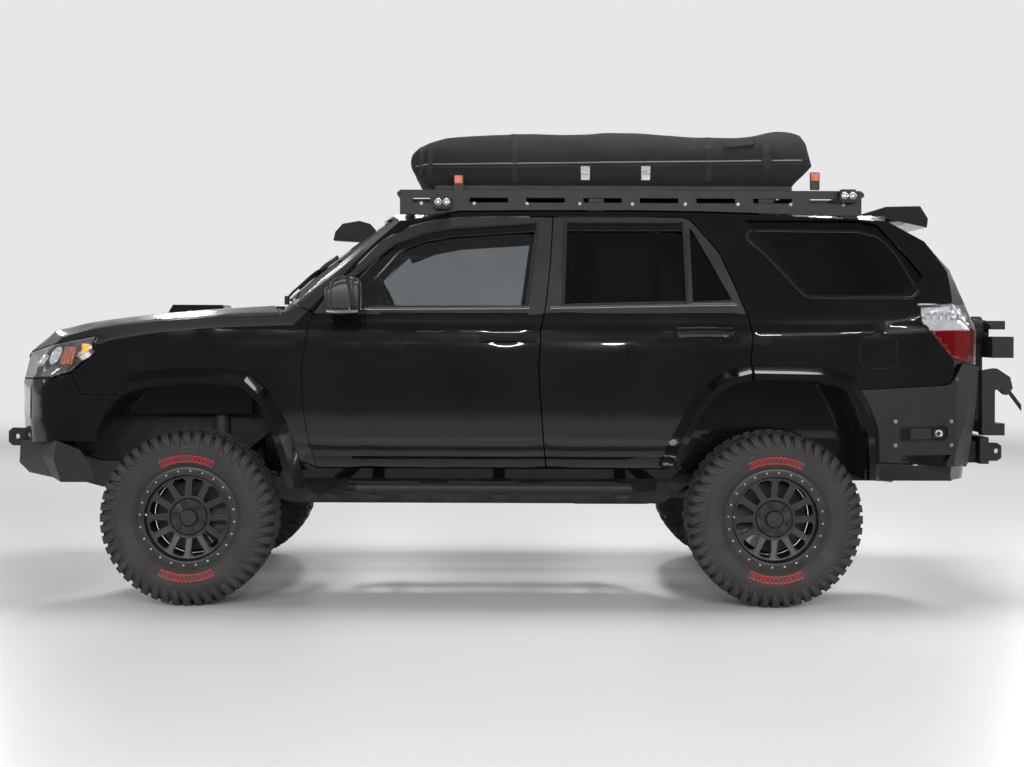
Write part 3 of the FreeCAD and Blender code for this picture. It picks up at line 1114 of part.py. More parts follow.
def make_front_suspension():
    x = FRONT_AXLE
    side = []
    low = CENTRE - dim.lower_joint_height - dim.lower_arm_thickness / 2
    side.append(arm(low, dim.lower_arm_thickness, dim.rail_inner, dim.eye_radius))
    high = CENTRE + dim.upper_joint_height - dim.upper_arm_thickness / 2
    rail_outer = dim.rail_inner + dim.rail_width
    side.append(arm(high, dim.upper_arm_thickness, rail_outer + dim.seat_gap, dim.eye_radius * 0.8))
    foot = V(x + dim.strut_ahead, dim.strut_low_y, low + dim.lower_arm_thickness)
    top = V(x + dim.strut_ahead, dim.strut_high_y, dim.strut_top_height - dim.seat_gap * 5)
    middle = foot + (top - foot) * 0.45
    strut = rod(foot, top, dim.strut_rod_radius).fuse(rod(middle, foot + (top - foot) * 0.96, dim.strut_radius))
    side[0] = side[0].fuse(strut)
    side[0] = side[0].fuse(block(x + dim.strut_ahead - dim.eye_radius, x + dim.strut_ahead + dim.eye_radius,
                                 dim.rail_inner, dim.strut_low_y + dim.eye_radius, low,
                                 low + dim.lower_arm_thickness))
    for shift in (-dim.arm_inner_span, dim.arm_inner_span):
        side.append(block(x + shift - dim.eye_radius / 2, x + shift + dim.eye_radius / 2, dim.rail_inner,
                          rail_outer - dim.seat_gap, low + dim.lower_arm_thickness + dim.seat_gap,
                          up(0.268) - dim.seat_gap))
    diff_height = CENTRE + dim.axle_drop
    shaft = rod(V(x, dim.front_diff_radius, diff_height), V(x, KINGPIN_Y, CENTRE), dim.shaft_radius)
    ball = Part.makeSphere(dim.joint_radius, V(x, KINGPIN_Y, CENTRE))
    inner = rod(V(x, dim.front_diff_radius * 1.6, diff_height), V(x, dim.front_diff_radius * 2.6, diff_height),
                dim.joint_radius)
    drive = shaft.multiFuse([ball, inner])
    diff = rod(V(x, -dim.front_diff_radius * 1.9, diff_height), V(x, dim.front_diff_radius * 1.9, diff_height),
               dim.front_diff_radius * 0.7)
    diff = diff.fuse(Part.makeSphere(dim.front_diff_radius, V(x, dim.front_diff_radius * 0.6, diff_height)))
    diff = diff.multiFuse([drive, mirrored(drive)])
    hanger = block(x - dim.joint_radius, x + dim.joint_radius, -dim.eye_radius, dim.eye_radius, diff_height,
                   up(0.284) - dim.seat_gap)
    solids = side + [mirrored(piece) for piece in side] + [diff.fuse(hanger)]
    feature("front_suspension", Part.makeCompound(solids))


RACK_X = FRONT_AXLE - dim.steer_arm
RACK_Z = CENTRE - dim.steer_arm_height - dim.steer_arm_thickness / 2 - dim.eye_gap - dim.eye_height / 2


def make_steering():
    half = dim.rack_half_length
    housing = rod(V(RACK_X, -half, RACK_Z), V(RACK_X, half, RACK_Z), dim.rack_housing_radius)
    for side in (1, -1):
        y0, y1 = sorted((side * half, side * half * 0.85))
        housing = housing.fuse(block(RACK_X - dim.tie_rod_radius, RACK_X + dim.tie_rod_radius, y0, y1,
                                     RACK_Z, up(0.30)))
        y0, y1 = sorted((side * half * 0.9, side * (dim.rail_inner - dim.seat_gap)))
        housing = housing.fuse(block(RACK_X - dim.tie_rod_radius, RACK_X + dim.tie_rod_radius, y0, y1,
                                     up(0.275), up(0.30)))
    bore = rod(V(RACK_X, -half * 1.2, RACK_Z), V(RACK_X, half * 1.2, RACK_Z),
               dim.tie_rod_radius + dim.rack_bore_clearance)
    feature("steering_rack", housing.cut(bore))
    eye_y = KINGPIN_Y - dim.steer_arm_inset
    bar = rod(V(RACK_X, -eye_y, RACK_Z), V(RACK_X, eye_y, RACK_Z), dim.tie_rod_radius)
    eyes = [rod(V(RACK_X, side * eye_y, RACK_Z - dim.eye_height / 2),
                V(RACK_X, side * eye_y, RACK_Z + dim.eye_height / 2), dim.steer_arm_width / 2)
            for side in (1, -1)]
    feature("tie_rods", bar.multiFuse(eyes))


def make_knuckles():
    x = FRONT_AXLE
    y0 = KINGPIN_Y - dim.carrier_inner
    y1 = KINGPIN_Y + dim.carrier_outer
    body = block(x - dim.carrier_half_length, x + dim.carrier_half_length, y0, y1,
                 CENTRE - dim.carrier_half_height, CENTRE + dim.carrier_half_height)
    high = CENTRE + dim.upper_joint_height
    low = CENTRE - dim.lower_joint_height
    upper_face = high - dim.upper_arm_thickness / 2 - dim.seat_gap
    lower_face = low + dim.lower_arm_thickness / 2 + dim.seat_gap
    post = rod(V(x, KINGPIN_Y, lower_face), V(x, KINGPIN_Y, upper_face), dim.eye_radius * 0.9)
    pin = rod(V(x, KINGPIN_Y, low - dim.lower_arm_thickness / 2), V(x, KINGPIN_Y, high + dim.upper_arm_thickness / 2),
              dim.kingpin_radius)
    arm_z = CENTRE - dim.steer_arm_height
    steer = block(RACK_X - dim.steer_arm_width / 2, x, KINGPIN_Y - dim.steer_arm_inset - dim.steer_arm_width / 2,
                  KINGPIN_Y - dim.steer_arm_inset + dim.steer_arm_width / 2,
                  arm_z - dim.steer_arm_thickness / 2, arm_z + dim.steer_arm_thickness / 2)
    disc_in = dim.track / 2 - dim.face_shift - dim.disc_thickness
    inner_wall = disc_in - dim.caliper_gap
    outer_wall = disc_in + dim.disc_thickness + dim.caliper_gap
    caliper = block(x + dim.caliper_inner, x + dim.caliper_outer, inner_wall - dim.caliper_wall,
                    outer_wall + dim.caliper_wall, CENTRE - dim.caliper_half_height,
                    CENTRE + dim.caliper_half_height)
    slot = rod(V(x, inner_wall, CENTRE), V(x, outer_wall, CENTRE), dim.disc_radius + dim.caliper_gap)
    caliper = caliper.cut(slot).common(rod(V(x, 0, CENTRE), V(x, FULL, CENTRE), dim.caliper_outer))
    bracket = block(x, x + dim.caliper_inner + dim.caliper_wall, y0, y1, CENTRE - dim.eye_radius,
                    CENTRE + dim.eye_radius)
    nose_end = dim.track / 2 - dim.face_shift - dim.seat_gap
    nose = rod(V(x, y0, CENTRE), V(x, nose_end, CENTRE), dim.hub_bore - dim.seat_gap)
    solid = body.multiFuse([post, pin, steer, caliper, bracket, nose])
    bore = rod(V(x, y0 - dim.scrub, CENTRE), V(x, KINGPIN_Y, CENTRE), dim.hub_bore - dim.caliper_gap / 3)
    cup = rod(V(x, KINGPIN_Y, CENTRE), V(x, nose_end - dim.caliper_gap, CENTRE), dim.joint_radius + dim.caliper_gap)
    solid = solid.cut([bore, cup])
    feature("knuckle_right", solid)
    feature("knuckle_left", mirrored(solid))


def revolve(points, count=0):
    """A closed (outward, radius) outline turned about the wheel axis."""
    face = Part.Face(closed_wire([V(r, y, 0) for y, r in points]))
    return face.revolve(V(0, 0, 0), V(0, 1, 0), 360)


def make_rim():
    half = dim.rim_width / 2
    bead = dim.bead_radius
    wall = dim.rim_wall
    ring = dim.ring_radius
    inner_ring = dim.ring_inner_radius
    well = bead - wall * 2.5
    barrel = revolve([(-half, bead + wall), (-half + wall, bead + wall), (-half + wall * 1.5, bead - wall / 4),
                      (-half * 0.5, bead - wall / 4), (-half * 0.35, well), (half * 0.35, well),
                      (half * 0.5, bead - wall / 4), (half - wall * 1.5, bead - wall / 4),
                      (half - wall * 1.2, ring), (half, ring), (half, inner_ring),
                      (half - wall * 1.5, inner_ring - wall / 2), (half * 0.45, well - wall),
                      (-half * 0.45, well - wall), (-half * 0.6, bead - wall * 1.3), (-half, bead - wall)])
    front = half - dim.face_recess
    back = front - dim.face_thickness
    face = revolve([(back, 0), (front, 0), (front, dim.hub_disc_radius),
                    (front - wall, dim.hub_disc_radius + wall / 2), (front - wall, dim.window_inner_radius - wall),
                    (front, dim.window_inner_radius - wall / 2), (front + wall, dim.window_outer_radius + wall),
                    (back + wall, dim.window_outer_radius + wall)])
    cap = revolve([(front - wall, 0), (front + wall * 2, 0), (front + wall * 2, dim.hub_bore_radius * 0.8),
                   (front + wall, dim.hub_bore_radius), (front - wall, dim.hub_bore_radius)])
    solid = barrel.multiFuse([face, cap])
    pitch = 360 / dim.window_count
    cutters = []
    for k in range(int(dim.window_count)):
        middle = math.radians(pitch * (k + 0.5))
        wide = math.radians(pitch) * (0.36 if k % 2 else 0.31)
        narrow = math.radians(pitch) * (0.16 if k % 2 else 0.24)
        corners = [(dim.window_inner_radius, -narrow), (dim.window_inner_radius, narrow),
                   (dim.window_outer_radius * 0.93, wide), (dim.window_outer_radius, wide * 0.6),
                   (dim.window_outer_radius, -wide * 0.6), (dim.window_outer_radius * 0.93, -wide)]
        points = [V(r * math.cos(middle + a), back - wall, r * math.sin(middle + a)) for r, a in corners]
        cutters.append(Part.Face(closed_wire(points)).extrude(V(0, dim.face_thickness * 3, 0)))
    return solid.cut(cutters)


def make_disc():
    """Brake disc and the hub that joins it to the wheel face, about the wheel axis."""
    disc_out = -dim.face_shift
    disc_in = disc_out - dim.disc_thickness
    hub_end = dim.rim_width / 2 - dim.face_recess - dim.face_thickness - dim.seat_gap
    return revolve([(disc_in, dim.hub_disc_radius), (disc_in, dim.disc_radius), (disc_out, dim.disc_radius),
                    (disc_out, dim.hub_disc_radius), (hub_end, dim.hub_disc_radius * 0.9), (hub_end, 0),
                    (disc_out, 0), (disc_out, dim.hub_bore)])


LUG_SHARES = (-0.34, -0.28, 0.28, 0.34)


def lug_ring(y, crest, valley):
    """The tread's toothed outline at one distance across the tyre."""
    pitch = 2 * math.pi / dim.lug_count
    points = []
    for k in range(int(dim.lug_count)):
        for radius, shift in zip((valley, crest, crest, valley), LUG_SHARES):
            angle = (k + shift) * pitch - math.pi / 2
            points.append(V(radius * math.cos(angle), y, radius * math.sin(angle)))
    return closed_wire(points)


def make_tyre():
    half = dim.tyre_width / 2
    top = dim.tyre_radius
    base = top - dim.lug_depth
    seat = dim.bead_radius - dim.rim_wall / 4 + dim.seat_gap
    bead_y = dim.rim_width / 2 - dim.rim_wall * 1.8
    flange_y = dim.rim_width / 2 - dim.rim_wall * 1.5
    lip = dim.ring_radius + dim.seat_gap * 5
    side_base = top - dim.side_lug_drop
    inside = base - dim.lug_depth * 3
    edge = half - dim.shoulder_width / 3
    core = revolve([(-bead_y, seat), (-flange_y, lip), (-half, dim.bead_radius * 1.4), (-half, side_base),
                    (-edge, base), (edge, base), (half, side_base), (half, dim.bead_radius * 1.4),
                    (flange_y, lip), (bead_y, seat), (half * 0.82, side_base - dim.lug_depth),
                    (edge * 0.7, inside), (-edge * 0.7, inside), (-half * 0.82, side_base - dim.lug_depth)])
    tread = Part.Face(lug_ring(-edge * 1.06, top, base - dim.lug_depth / 2)).extrude(V(0, edge * 2.12, 0))
    hollow = Part.makeCylinder(inside + dim.lug_depth, half * 2, V(0, -half, 0), V(0, 1, 0))
    return core.fuse(tread.cut(hollow))


def make_wheels():
    rim = make_rim()
    disc = make_disc()
    tyre = make_tyre()
    for end, x in (("front", FRONT_AXLE), ("rear", REAR_AXLE)):
        for side, name in ((1, "right"), (-1, "left")):
            at = V(x, side * dim.track / 2, CENTRE)
            for kind, shape in (("tyre", tyre), ("wheel", Part.makeCompound([rim, disc]))):
                copy = shape if side > 0 else mirrored(shape)
                item = feature("%s_%s_%s" % (kind, end, name), copy)
                item.Placement = FreeCAD.Placement(at, FreeCAD.Rotation())


def make_rear_axle():
    x = REAR_AXLE
    disc_in = dim.track / 2 - dim.face_shift - dim.disc_thickness
    end = disc_in - dim.caliper_gap
    tube = rod(V(x, -end, CENTRE), V(x, end, CENTRE), dim.rear_tube_radius)
    diff = Part.makeSphere(dim.rear_diff_radius, V(x, 0, CENTRE))
    nose = rod(V(x, 0, CENTRE), V(x - dim.rear_diff_radius * 1.35, 0, CENTRE + dim.rear_tube_radius / 2),
               dim.rear_tube_radius * 1.2)
    solid = tube.multiFuse([diff, nose])
    for side in (1, -1):
        y = side * dim.rear_coil_y
        perch = rod(V(x, y, CENTRE), V(x, y, CENTRE + dim.rear_tube_radius * 1.4), dim.rear_coil_radius)
        caliper_y = side * (disc_in + dim.disc_thickness / 2)
        span = dim.disc_thickness / 2 + dim.caliper_gap + dim.caliper_wall
        caliper = block(x - dim.caliper_outer, x - dim.caliper_inner, caliper_y - span, caliper_y + span,
                        CENTRE - dim.caliper_half_height * 0.8, CENTRE + dim.caliper_half_height * 0.8)
        slot = rod(V(x, caliper_y - dim.disc_thickness / 2 - dim.caliper_gap, CENTRE),
                   V(x, caliper_y + dim.disc_thickness / 2 + dim.caliper_gap, CENTRE),
                   dim.disc_radius + dim.caliper_gap)
        y0, y1 = sorted((side * (end - dim.caliper_wall), side * end))
        bracket = block(x - dim.caliper_inner - dim.caliper_wall, x, y0, y1, CENTRE - dim.eye_radius,
                        CENTRE + dim.eye_radius)
        limit = rod(V(x, -FULL, CENTRE), V(x, FULL, CENTRE), dim.caliper_outer)
        nose = rod(V(x, 0, CENTRE), V(x, side * (dim.track / 2 - dim.face_shift - dim.seat_gap), CENTRE),
                   dim.hub_bore - dim.seat_gap)
        nose = nose.cut(block(x - FULL, x + FULL, -dim.rear_coil_y - dim.rear_coil_radius * 2,
                              dim.rear_coil_y + dim.rear_coil_radius * 2, 0, up(1)))
        solid = solid.multiFuse([perch, caliper.cut(slot).common(limit), bracket, nose])
    pieces = [solid]
    for side in (1, -1):
        y = side * dim.rear_coil_y
        pieces.append(coil(V(x, y, CENTRE + dim.rear_tube_radius * 1.4 + dim.coil_wire + dim.seat_gap),
                           V(x, y, dim.rear_coil_top - dim.coil_wire - dim.seat_gap), dim.rear_coil_radius,
                           dim.coil_wire, dim.coil_turns))
    feature("rear_axle", Part.makeCompound(pieces))

FRONT_BUMPER = front_bumper_shape()
RACK_FLOOR = envelope(-dim.panel_gap, -dim.panel_gap, -dim.panel_gap)
SEAT_OUTSIDE = envelope(-dim.seat_gap, -dim.seat_gap, -dim.seat_gap)
FASCIA_SKIN = SKIN.common(prism_y(side_points(FASCIA_SHARES), -FULL, FULL))
make_hood()
FENDERS = make_fenders()
make_fascia()
make_lamps()
make_doors()
make_body(FENDERS)
make_tailgate()
feature("front_bumper", FRONT_BUMPER)
make_rear_bumper()
make_carrier()
make_side_steps()
make_rack()
make_tent()
make_snorkel()
make_cabin()
make_chassis()
make_power_train()
make_front_suspension()
make_steering()
make_knuckles()
make_wheels()
make_rear_axle()

doc.recompute()
for item in doc.Objects:
    if "Invalid" in item.State or "Error" in item.State:
        raise RuntimeError("%s doesn't compute: %s" % (item.Label, item.State))
for item in nodes:
    if item.Shape.isNull() or not item.Shape.isValid():
        raise RuntimeError("%s has no valid shape" % item.Label)
for item in nodes:
    item.Shape.exportStep("parts/%s.step" % item.Label)
    print(item.Label, len(item.Shape.Solids), len(item.Shape.Faces), round(item.Shape.Volume / 1e6, 2))
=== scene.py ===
"""Lifted off-road 4x4 with a roof tent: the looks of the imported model, made as a Blender add-on."""

import json
import math

import bmesh
import bpy
from bpy.props import FloatProperty, FloatVectorProperty, PointerProperty
from mathutils import Matrix, Vector, noise
from mathutils.bvhtree import BVHTree


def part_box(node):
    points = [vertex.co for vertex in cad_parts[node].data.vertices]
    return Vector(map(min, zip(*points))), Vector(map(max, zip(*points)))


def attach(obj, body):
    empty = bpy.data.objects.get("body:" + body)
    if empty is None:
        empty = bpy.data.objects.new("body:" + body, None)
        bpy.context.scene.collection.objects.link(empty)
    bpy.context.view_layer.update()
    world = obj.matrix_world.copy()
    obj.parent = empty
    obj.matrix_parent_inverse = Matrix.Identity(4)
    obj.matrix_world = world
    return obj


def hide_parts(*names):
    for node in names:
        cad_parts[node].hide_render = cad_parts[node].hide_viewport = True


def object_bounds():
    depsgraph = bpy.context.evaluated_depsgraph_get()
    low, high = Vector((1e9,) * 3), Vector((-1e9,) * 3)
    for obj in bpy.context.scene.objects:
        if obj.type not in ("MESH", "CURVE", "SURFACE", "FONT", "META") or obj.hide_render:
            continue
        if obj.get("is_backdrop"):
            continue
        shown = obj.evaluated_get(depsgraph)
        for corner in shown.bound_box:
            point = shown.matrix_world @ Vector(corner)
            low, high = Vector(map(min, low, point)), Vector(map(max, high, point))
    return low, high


bl_info = {
    "name": "Lifted off-road 4x4",
    "version": (1, 0, 0),
    "blender": (4, 5, 0),
    "location": "View3D > Sidebar > Lifted 4x4",
    "description": "Dresses the packed model of a lifted off-road 4x4",
    "category": "Object",
}

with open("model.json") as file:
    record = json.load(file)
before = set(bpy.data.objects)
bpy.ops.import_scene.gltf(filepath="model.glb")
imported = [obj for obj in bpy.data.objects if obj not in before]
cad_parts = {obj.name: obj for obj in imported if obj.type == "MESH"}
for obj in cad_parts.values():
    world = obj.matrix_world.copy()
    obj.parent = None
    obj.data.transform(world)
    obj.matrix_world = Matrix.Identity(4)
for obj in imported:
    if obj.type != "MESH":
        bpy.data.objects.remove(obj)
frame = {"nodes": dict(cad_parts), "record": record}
CAD_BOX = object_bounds()
NODES = frame["nodes"]
BODY_OF = {node: body for body, nodes in frame["record"]["behaviour"]["bodies"].items() for node in nodes}

# Places, in metres
SIDES = {"left": -1, "right": 1}
FRONT_AXLE = -1.531
REAR_AXLE = 1.259
WHEEL_HEIGHT = 0.418
TRACK = 0.825
STUD_CIRCLE = 0.06985
WHEELS = {
    f"{end}_{side}": (axle, sign * TRACK)
    for end, axle in (("front", FRONT_AXLE), ("rear", REAR_AXLE)) for side, sign in SIDES.items()
}


# Node trees
def put(tree, value, socket):
    """Sets an input to a value, or links another node's socket to it."""
    if isinstance(value, bpy.types.NodeSocket):
        tree.links.new(value, socket)
    else:
        socket.default_value = value


def add_node(tree, kind, inputs=None, **settings):
    """Adds one node, with its settings and its inputs set or linked."""
    node = tree.nodes.new(kind)
    for name, value in settings.items():
        setattr(node, name, value)
    for name, value in (inputs or {}).items():
        put(tree, value, node.inputs[name])
    return node


def maths(tree, operation, *values):
    """The result of one sum, product or other operation of values or sockets."""
    return add_node(tree, "ShaderNodeMath", dict(enumerate(values)), operation=operation).outputs[0]


def ramp(tree, value, start, end, kind="LINEAR", **ends):
    """A value's way between two levels, from 0 to 1 or between other ends."""
    inputs = {"Value": value, "From Min": start, "From Max": end}
    inputs.update({name.replace("_", " "): to for name, to in ends.items()})
    node = add_node(tree, "ShaderNodeMapRange", inputs, interpolation_type=kind)
    return node.outputs["Result"]


def blend(tree, share, one, two):
    """A mix of two colours."""
    inputs = {"Factor": share, 6: one, 7: two}
    return add_node(tree, "ShaderNodeMix", inputs, data_type="RGBA").outputs[2]


def clouds(tree, size, detail, roughness, start, end):
    """Clouds all over the object, between two levels of a noise."""
    place = add_node(tree, "ShaderNodeTexCoord").outputs["Object"]
    inputs = {"Vector": place, "Scale": size, "Detail": detail, "Roughness": roughness}
    return ramp(tree, add_node(tree, "ShaderNodeTexNoise", inputs).outputs["Fac"], start, end)


def effect_group(name, inputs, outputs):
    """An empty shader node group, with its input and output nodes."""
    group = bpy.data.node_groups.new(name, "ShaderNodeTree")
    for label, kind, default in inputs:
        socket = group.interface.new_socket(label, in_out="INPUT", socket_type=kind)
        socket.default_value = default
    for label, kind in outputs:
        group.interface.new_socket(label, in_out="OUTPUT", socket_type=kind)
    return group, group.nodes.new("NodeGroupInput"), group.nodes.new("NodeGroupOutput")


def rgba(colour):
    """A colour with its alpha."""
    return (colour[0], colour[1], colour[2], 1.0)


def drift_group():
    """A colour that drifts between two over the surface, in clouds."""
    group, given, made = effect_group(
        "Colour drift",
        [
            ("Colour", "NodeSocketColor", (0.5, 0.5, 0.5, 1)),
            ("Second colour", "NodeSocketColor", (0.4, 0.4, 0.4, 1)),
            ("Size", "NodeSocketFloat", 8.0),
        ],
        [("Colour", "NodeSocketColor"), ("Mask", "NodeSocketFloat")],
    )
    share = clouds(group, given.outputs["Size"], 6.0, 0.62, 0.34, 0.68)
    colour = blend(group, share, given.outputs["Colour"], given.outputs["Second colour"])
    put(group, colour, made.inputs["Colour"])
    put(group, share, made.inputs["Mask"])
    return group


def grain_group():
    """The fine height of moulded plastic, powder coat, rubber or cast metal."""
    group, given, made = effect_group(
        "Surface grain",
        [("Size", "NodeSocketFloat", 300.0), ("Pits", "NodeSocketFloat", 0.3)],
        [("Height", "NodeSocketFloat")],
    )
    place = add_node(group, "ShaderNodeTexCoord")
    where = {"Vector": place.outputs["Object"], "Scale": given.outputs["Size"]}
    fine = add_node(group, "ShaderNodeTexNoise", {**where, "Detail": 3.0})
    cells = add_node(group, "ShaderNodeTexVoronoi", where)
    pits = maths(group, "MULTIPLY", cells.outputs["Distance"], given.outputs["Pits"])
    put(group, maths(group, "ADD", fine.outputs["Fac"], pits), made.inputs["Height"])
    return group


def dust_group():
    """Road dust that lies thicker low on the object, in clouds."""
    group, given, made = effect_group(
        "Road dust",
        [
            ("Colour", "NodeSocketColor", (0.05, 0.05, 0.05, 1)),
            ("Dust", "NodeSocketColor", (0.3, 0.26, 0.21, 1)),
            ("Amount", "NodeSocketFloat", 0.2),
            ("Top", "NodeSocketFloat", 1.0),
        ],
        [("Colour", "NodeSocketColor"), ("Mask", "NodeSocketFloat")],
    )
    place = add_node(group, "ShaderNodeTexCoord")
    split = add_node(group, "ShaderNodeSeparateXYZ", {"Vector": place.outputs["Object"]})
    low = ramp(group, split.outputs["Z"], given.outputs["Top"], 0.0)
    both = maths(group, "MULTIPLY", low, clouds(group, 9.0, 8.0, 0.7, 0.38, 0.72))
    share = maths(group, "MULTIPLY", both, given.outputs["Amount"])
    colour = blend(group, share, given.outputs["Colour"], given.outputs["Dust"])
    put(group, colour, made.inputs["Colour"])
    put(group, share, made.inputs["Mask"])
    return group


def weave_group():
    """Warp and weft threads of a coated fabric, seen from the side or from above."""
    group, given, made = effect_group(
        "Weave",
        [("Threads", "NodeSocketFloat", 600.0)],
        [("Height", "NodeSocketFloat")],
    )
    place = add_node(group, "ShaderNodeTexCoord")
    total = 0.0
    for direction in ("X", "Y", "Z"):
        where = {"Vector": place.outputs["Object"], "Scale": given.outputs["Threads"]}
        threads = {**where, "Distortion": 1.2, "Detail": 1.0}
        wave = add_node(group, "ShaderNodeTexWave", threads, bands_direction=direction)
        total = maths(group, "ADD", total, wave.outputs["Fac"])
    put(group, total, made.inputs["Height"])
    return group


GROUPS = {}


def effects():
    """The shared effects, built once."""
    if not GROUPS:
        GROUPS.update(drift=drift_group(), grain=grain_group(), dust=dust_group(), weave=weave_group())
    return GROUPS


# Each finish: its colour and a second one that it drifts to, the drift's size, the least and
# most roughness, metallic, coat, specular, grain size and depth in metres, dust, weave, glow.
FINISHES = {
    "body_paint": dict(
        colour=(0.0030, 0.0031, 0.0035), second=(0.0042, 0.0042, 0.0048), size=3.0, rough=(0.20, 0.26),
        coat=1.0, coat_ior=1.38, specular=0.12, grain=900.0, depth=0.000004, dust=0.010,
    ),
    "satin_black": dict(
        colour=(0.0080, 0.0080, 0.0084), second=(0.0115, 0.0115, 0.0120), size=14.0, rough=(0.42, 0.52),
        specular=0.32, grain=650.0, depth=0.00012, dust=0.04,
    ),
    "frame_paint": dict(
        colour=(0.0130, 0.0130, 0.0130), second=(0.0210, 0.0200, 0.0185), size=11.0, rough=(0.5, 0.68),
        grain=260.0, depth=0.00025, dust=0.30,
    ),
    "raw_steel": dict(
        colour=(0.34, 0.33, 0.31), second=(0.23, 0.20, 0.17), size=22.0, rough=(0.32, 0.5), metal=1.0,
        grain=420.0, depth=0.00012, dust=0.18,
    ),
    "cast_metal": dict(
        colour=(0.075, 0.075, 0.076), second=(0.052, 0.050, 0.048), size=16.0, rough=(0.48, 0.66), metal=0.6,
        grain=240.0, depth=0.0004, dust=0.25,
    ),
    "aluminium_parts": dict(
        colour=(0.62, 0.62, 0.63), second=(0.50, 0.50, 0.52), size=20.0, rough=(0.24, 0.36), metal=1.0,
        grain=700.0, depth=0.00006, dust=0.02,
    ),
    "wheel_black": dict(
        colour=(0.0085, 0.0085, 0.0088), second=(0.0120, 0.0120, 0.0122), size=18.0, rough=(0.33, 0.42),
        grain=800.0, depth=0.00010, dust=0.05,
    ),
    "tyre_rubber": dict(
        colour=(0.0140, 0.0142, 0.0148), second=(0.0230, 0.0225, 0.0220), size=12.0, rough=(0.62, 0.78),
        grain=500.0, depth=0.00030, dust=0.10,
    ),
    "black_plastic": dict(
        colour=(0.0075, 0.0075, 0.0080), second=(0.0105, 0.0105, 0.0110), size=10.0, rough=(0.5, 0.62),
        specular=0.28, grain=700.0, depth=0.00025, dust=0.04,
    ),
    "gloss_trim": dict(
        colour=(0.0060, 0.0060, 0.0065), second=(0.0085, 0.0085, 0.0090), size=9.0, rough=(0.12, 0.18),
        coat=0.6, grain=900.0, depth=0.00002, dust=0.02,
    ),
    "seat_leather": dict(
        colour=(0.0260, 0.0255, 0.0250), second=(0.0360, 0.0350, 0.0340), size=9.0, rough=(0.42, 0.56),
        grain=380.0, depth=0.0006,
    ),
    "tent_fabric": dict(
        colour=(0.0115, 0.0115, 0.0125), second=(0.0200, 0.0200, 0.0210), size=26.0, rough=(0.62, 0.8),
        grain=420.0, depth=0.0009, dust=0.02, weave=340.0,
    ),
    "frame_trim": dict(
        colour=(0.0150, 0.0150, 0.0158), second=(0.0190, 0.0190, 0.0198), size=8.0, rough=(0.34, 0.42),
        grain=800.0, depth=0.00004, dust=0.01,
    ),
    "webbing": dict(
        colour=(0.0120, 0.0120, 0.0128), second=(0.0190, 0.0190, 0.0200), size=60.0, rough=(0.6, 0.75),
        grain=500.0, depth=0.0004, dust=0.02, weave=700.0,
    ),
    "chrome": dict(
        colour=(0.80, 0.80, 0.81), second=(0.70, 0.70, 0.72), size=12.0, rough=(0.06, 0.12), metal=1.0,
        grain=900.0, depth=0.00001,
    ),
    "ring_bolt": dict(
        colour=(0.70, 0.52, 0.46), second=(0.55, 0.40, 0.36), size=60.0, rough=(0.22, 0.32), metal=1.0,
        grain=900.0, depth=0.00003,
    ),
    # Bright metal: the door locks' own finish, and on the belt strips a painted reflection, bright where the
    # real belt trim is black with light along its top.
    "bright_metal_and_painted_reflection": dict(
        colour=(0.46, 0.46, 0.47), second=(0.38, 0.38, 0.39), size=15.0, rough=(0.16, 0.24), metal=1.0,
        grain=900.0, depth=0.00001,
    ),
    "smoked_plastic": dict(
        colour=(0.0045, 0.0045, 0.0050), second=(0.0060, 0.0060, 0.0065), size=8.0, rough=(0.10, 0.16),
        grain=900.0, depth=0.00001, dust=0.01,
    ),
    "caliper": dict(
        colour=(0.10, 0.055, 0.035), second=(0.07, 0.045, 0.032), size=40.0, rough=(0.45, 0.6),
        grain=420.0, depth=0.0003, dust=0.15,
    ),
    "red_reflector": dict(
        colour=(0.34, 0.006, 0.006), second=(0.26, 0.005, 0.005), size=40.0, rough=(0.12, 0.2), metal=0.3,
        coat=1.0, grain=260.0, depth=0.0012,
    ),
    "amber_reflector": dict(
        colour=(0.62, 0.12, 0.012), second=(0.50, 0.09, 0.010), size=40.0, rough=(0.15, 0.25),
        coat=1.0, grain=260.0, depth=0.0010,
    ),
    "lamp_reflector": dict(
        colour=(0.72, 0.73, 0.75), second=(0.60, 0.61, 0.63), size=40.0, rough=(0.10, 0.2), metal=0.9,
        grain=180.0, depth=0.0012,
    ),
    "lit_amber": dict(
        colour=(0.85, 0.22, 0.02), second=(0.75, 0.18, 0.02), size=40.0, rough=(0.3, 0.4),
        grain=300.0, depth=0.0002, glow=2.2,
    ),
    "lit_white": dict(
        colour=(0.95, 0.93, 0.85), second=(0.90, 0.88, 0.80), size=40.0, rough=(0.3, 0.4),
        grain=300.0, depth=0.0002, glow=1.0,
    ),
    "piping": dict(
        colour=(0.16, 0.16, 0.17), second=(0.11, 0.11, 0.12), size=50.0, rough=(0.4, 0.5),
        grain=500.0, depth=0.0002, dust=0.02,
    ),
    "brake_disc": dict(
        colour=(0.52, 0.51, 0.49), second=(0.40, 0.37, 0.33), size=30.0, rough=(0.25, 0.38), metal=1.0,
        grain=700.0, depth=0.00004, dust=0.02,
    ),
    "tyre_mark": dict(
        colour=(0.60, 0.020, 0.016), second=(0.46, 0.016, 0.013), size=40.0, rough=(0.55, 0.7),
        grain=500.0, depth=0.0001, dust=0.05,
    ),
}


FINISHED = {}


def shared(tree, effect, inputs):
    """One shared effect in a material, with its inputs set once its sockets are there."""
    return add_node(tree, "ShaderNodeGroup", inputs, node_tree=effects()[effect])


def new_material(name):
    """A material kept under a finish's name, with its tree and shader."""
    material = bpy.data.materials.new(name + "_finish")
    FINISHED[name] = material
    material.use_nodes = True
    return material, material.node_tree, material.node_tree.nodes["Principled BSDF"]


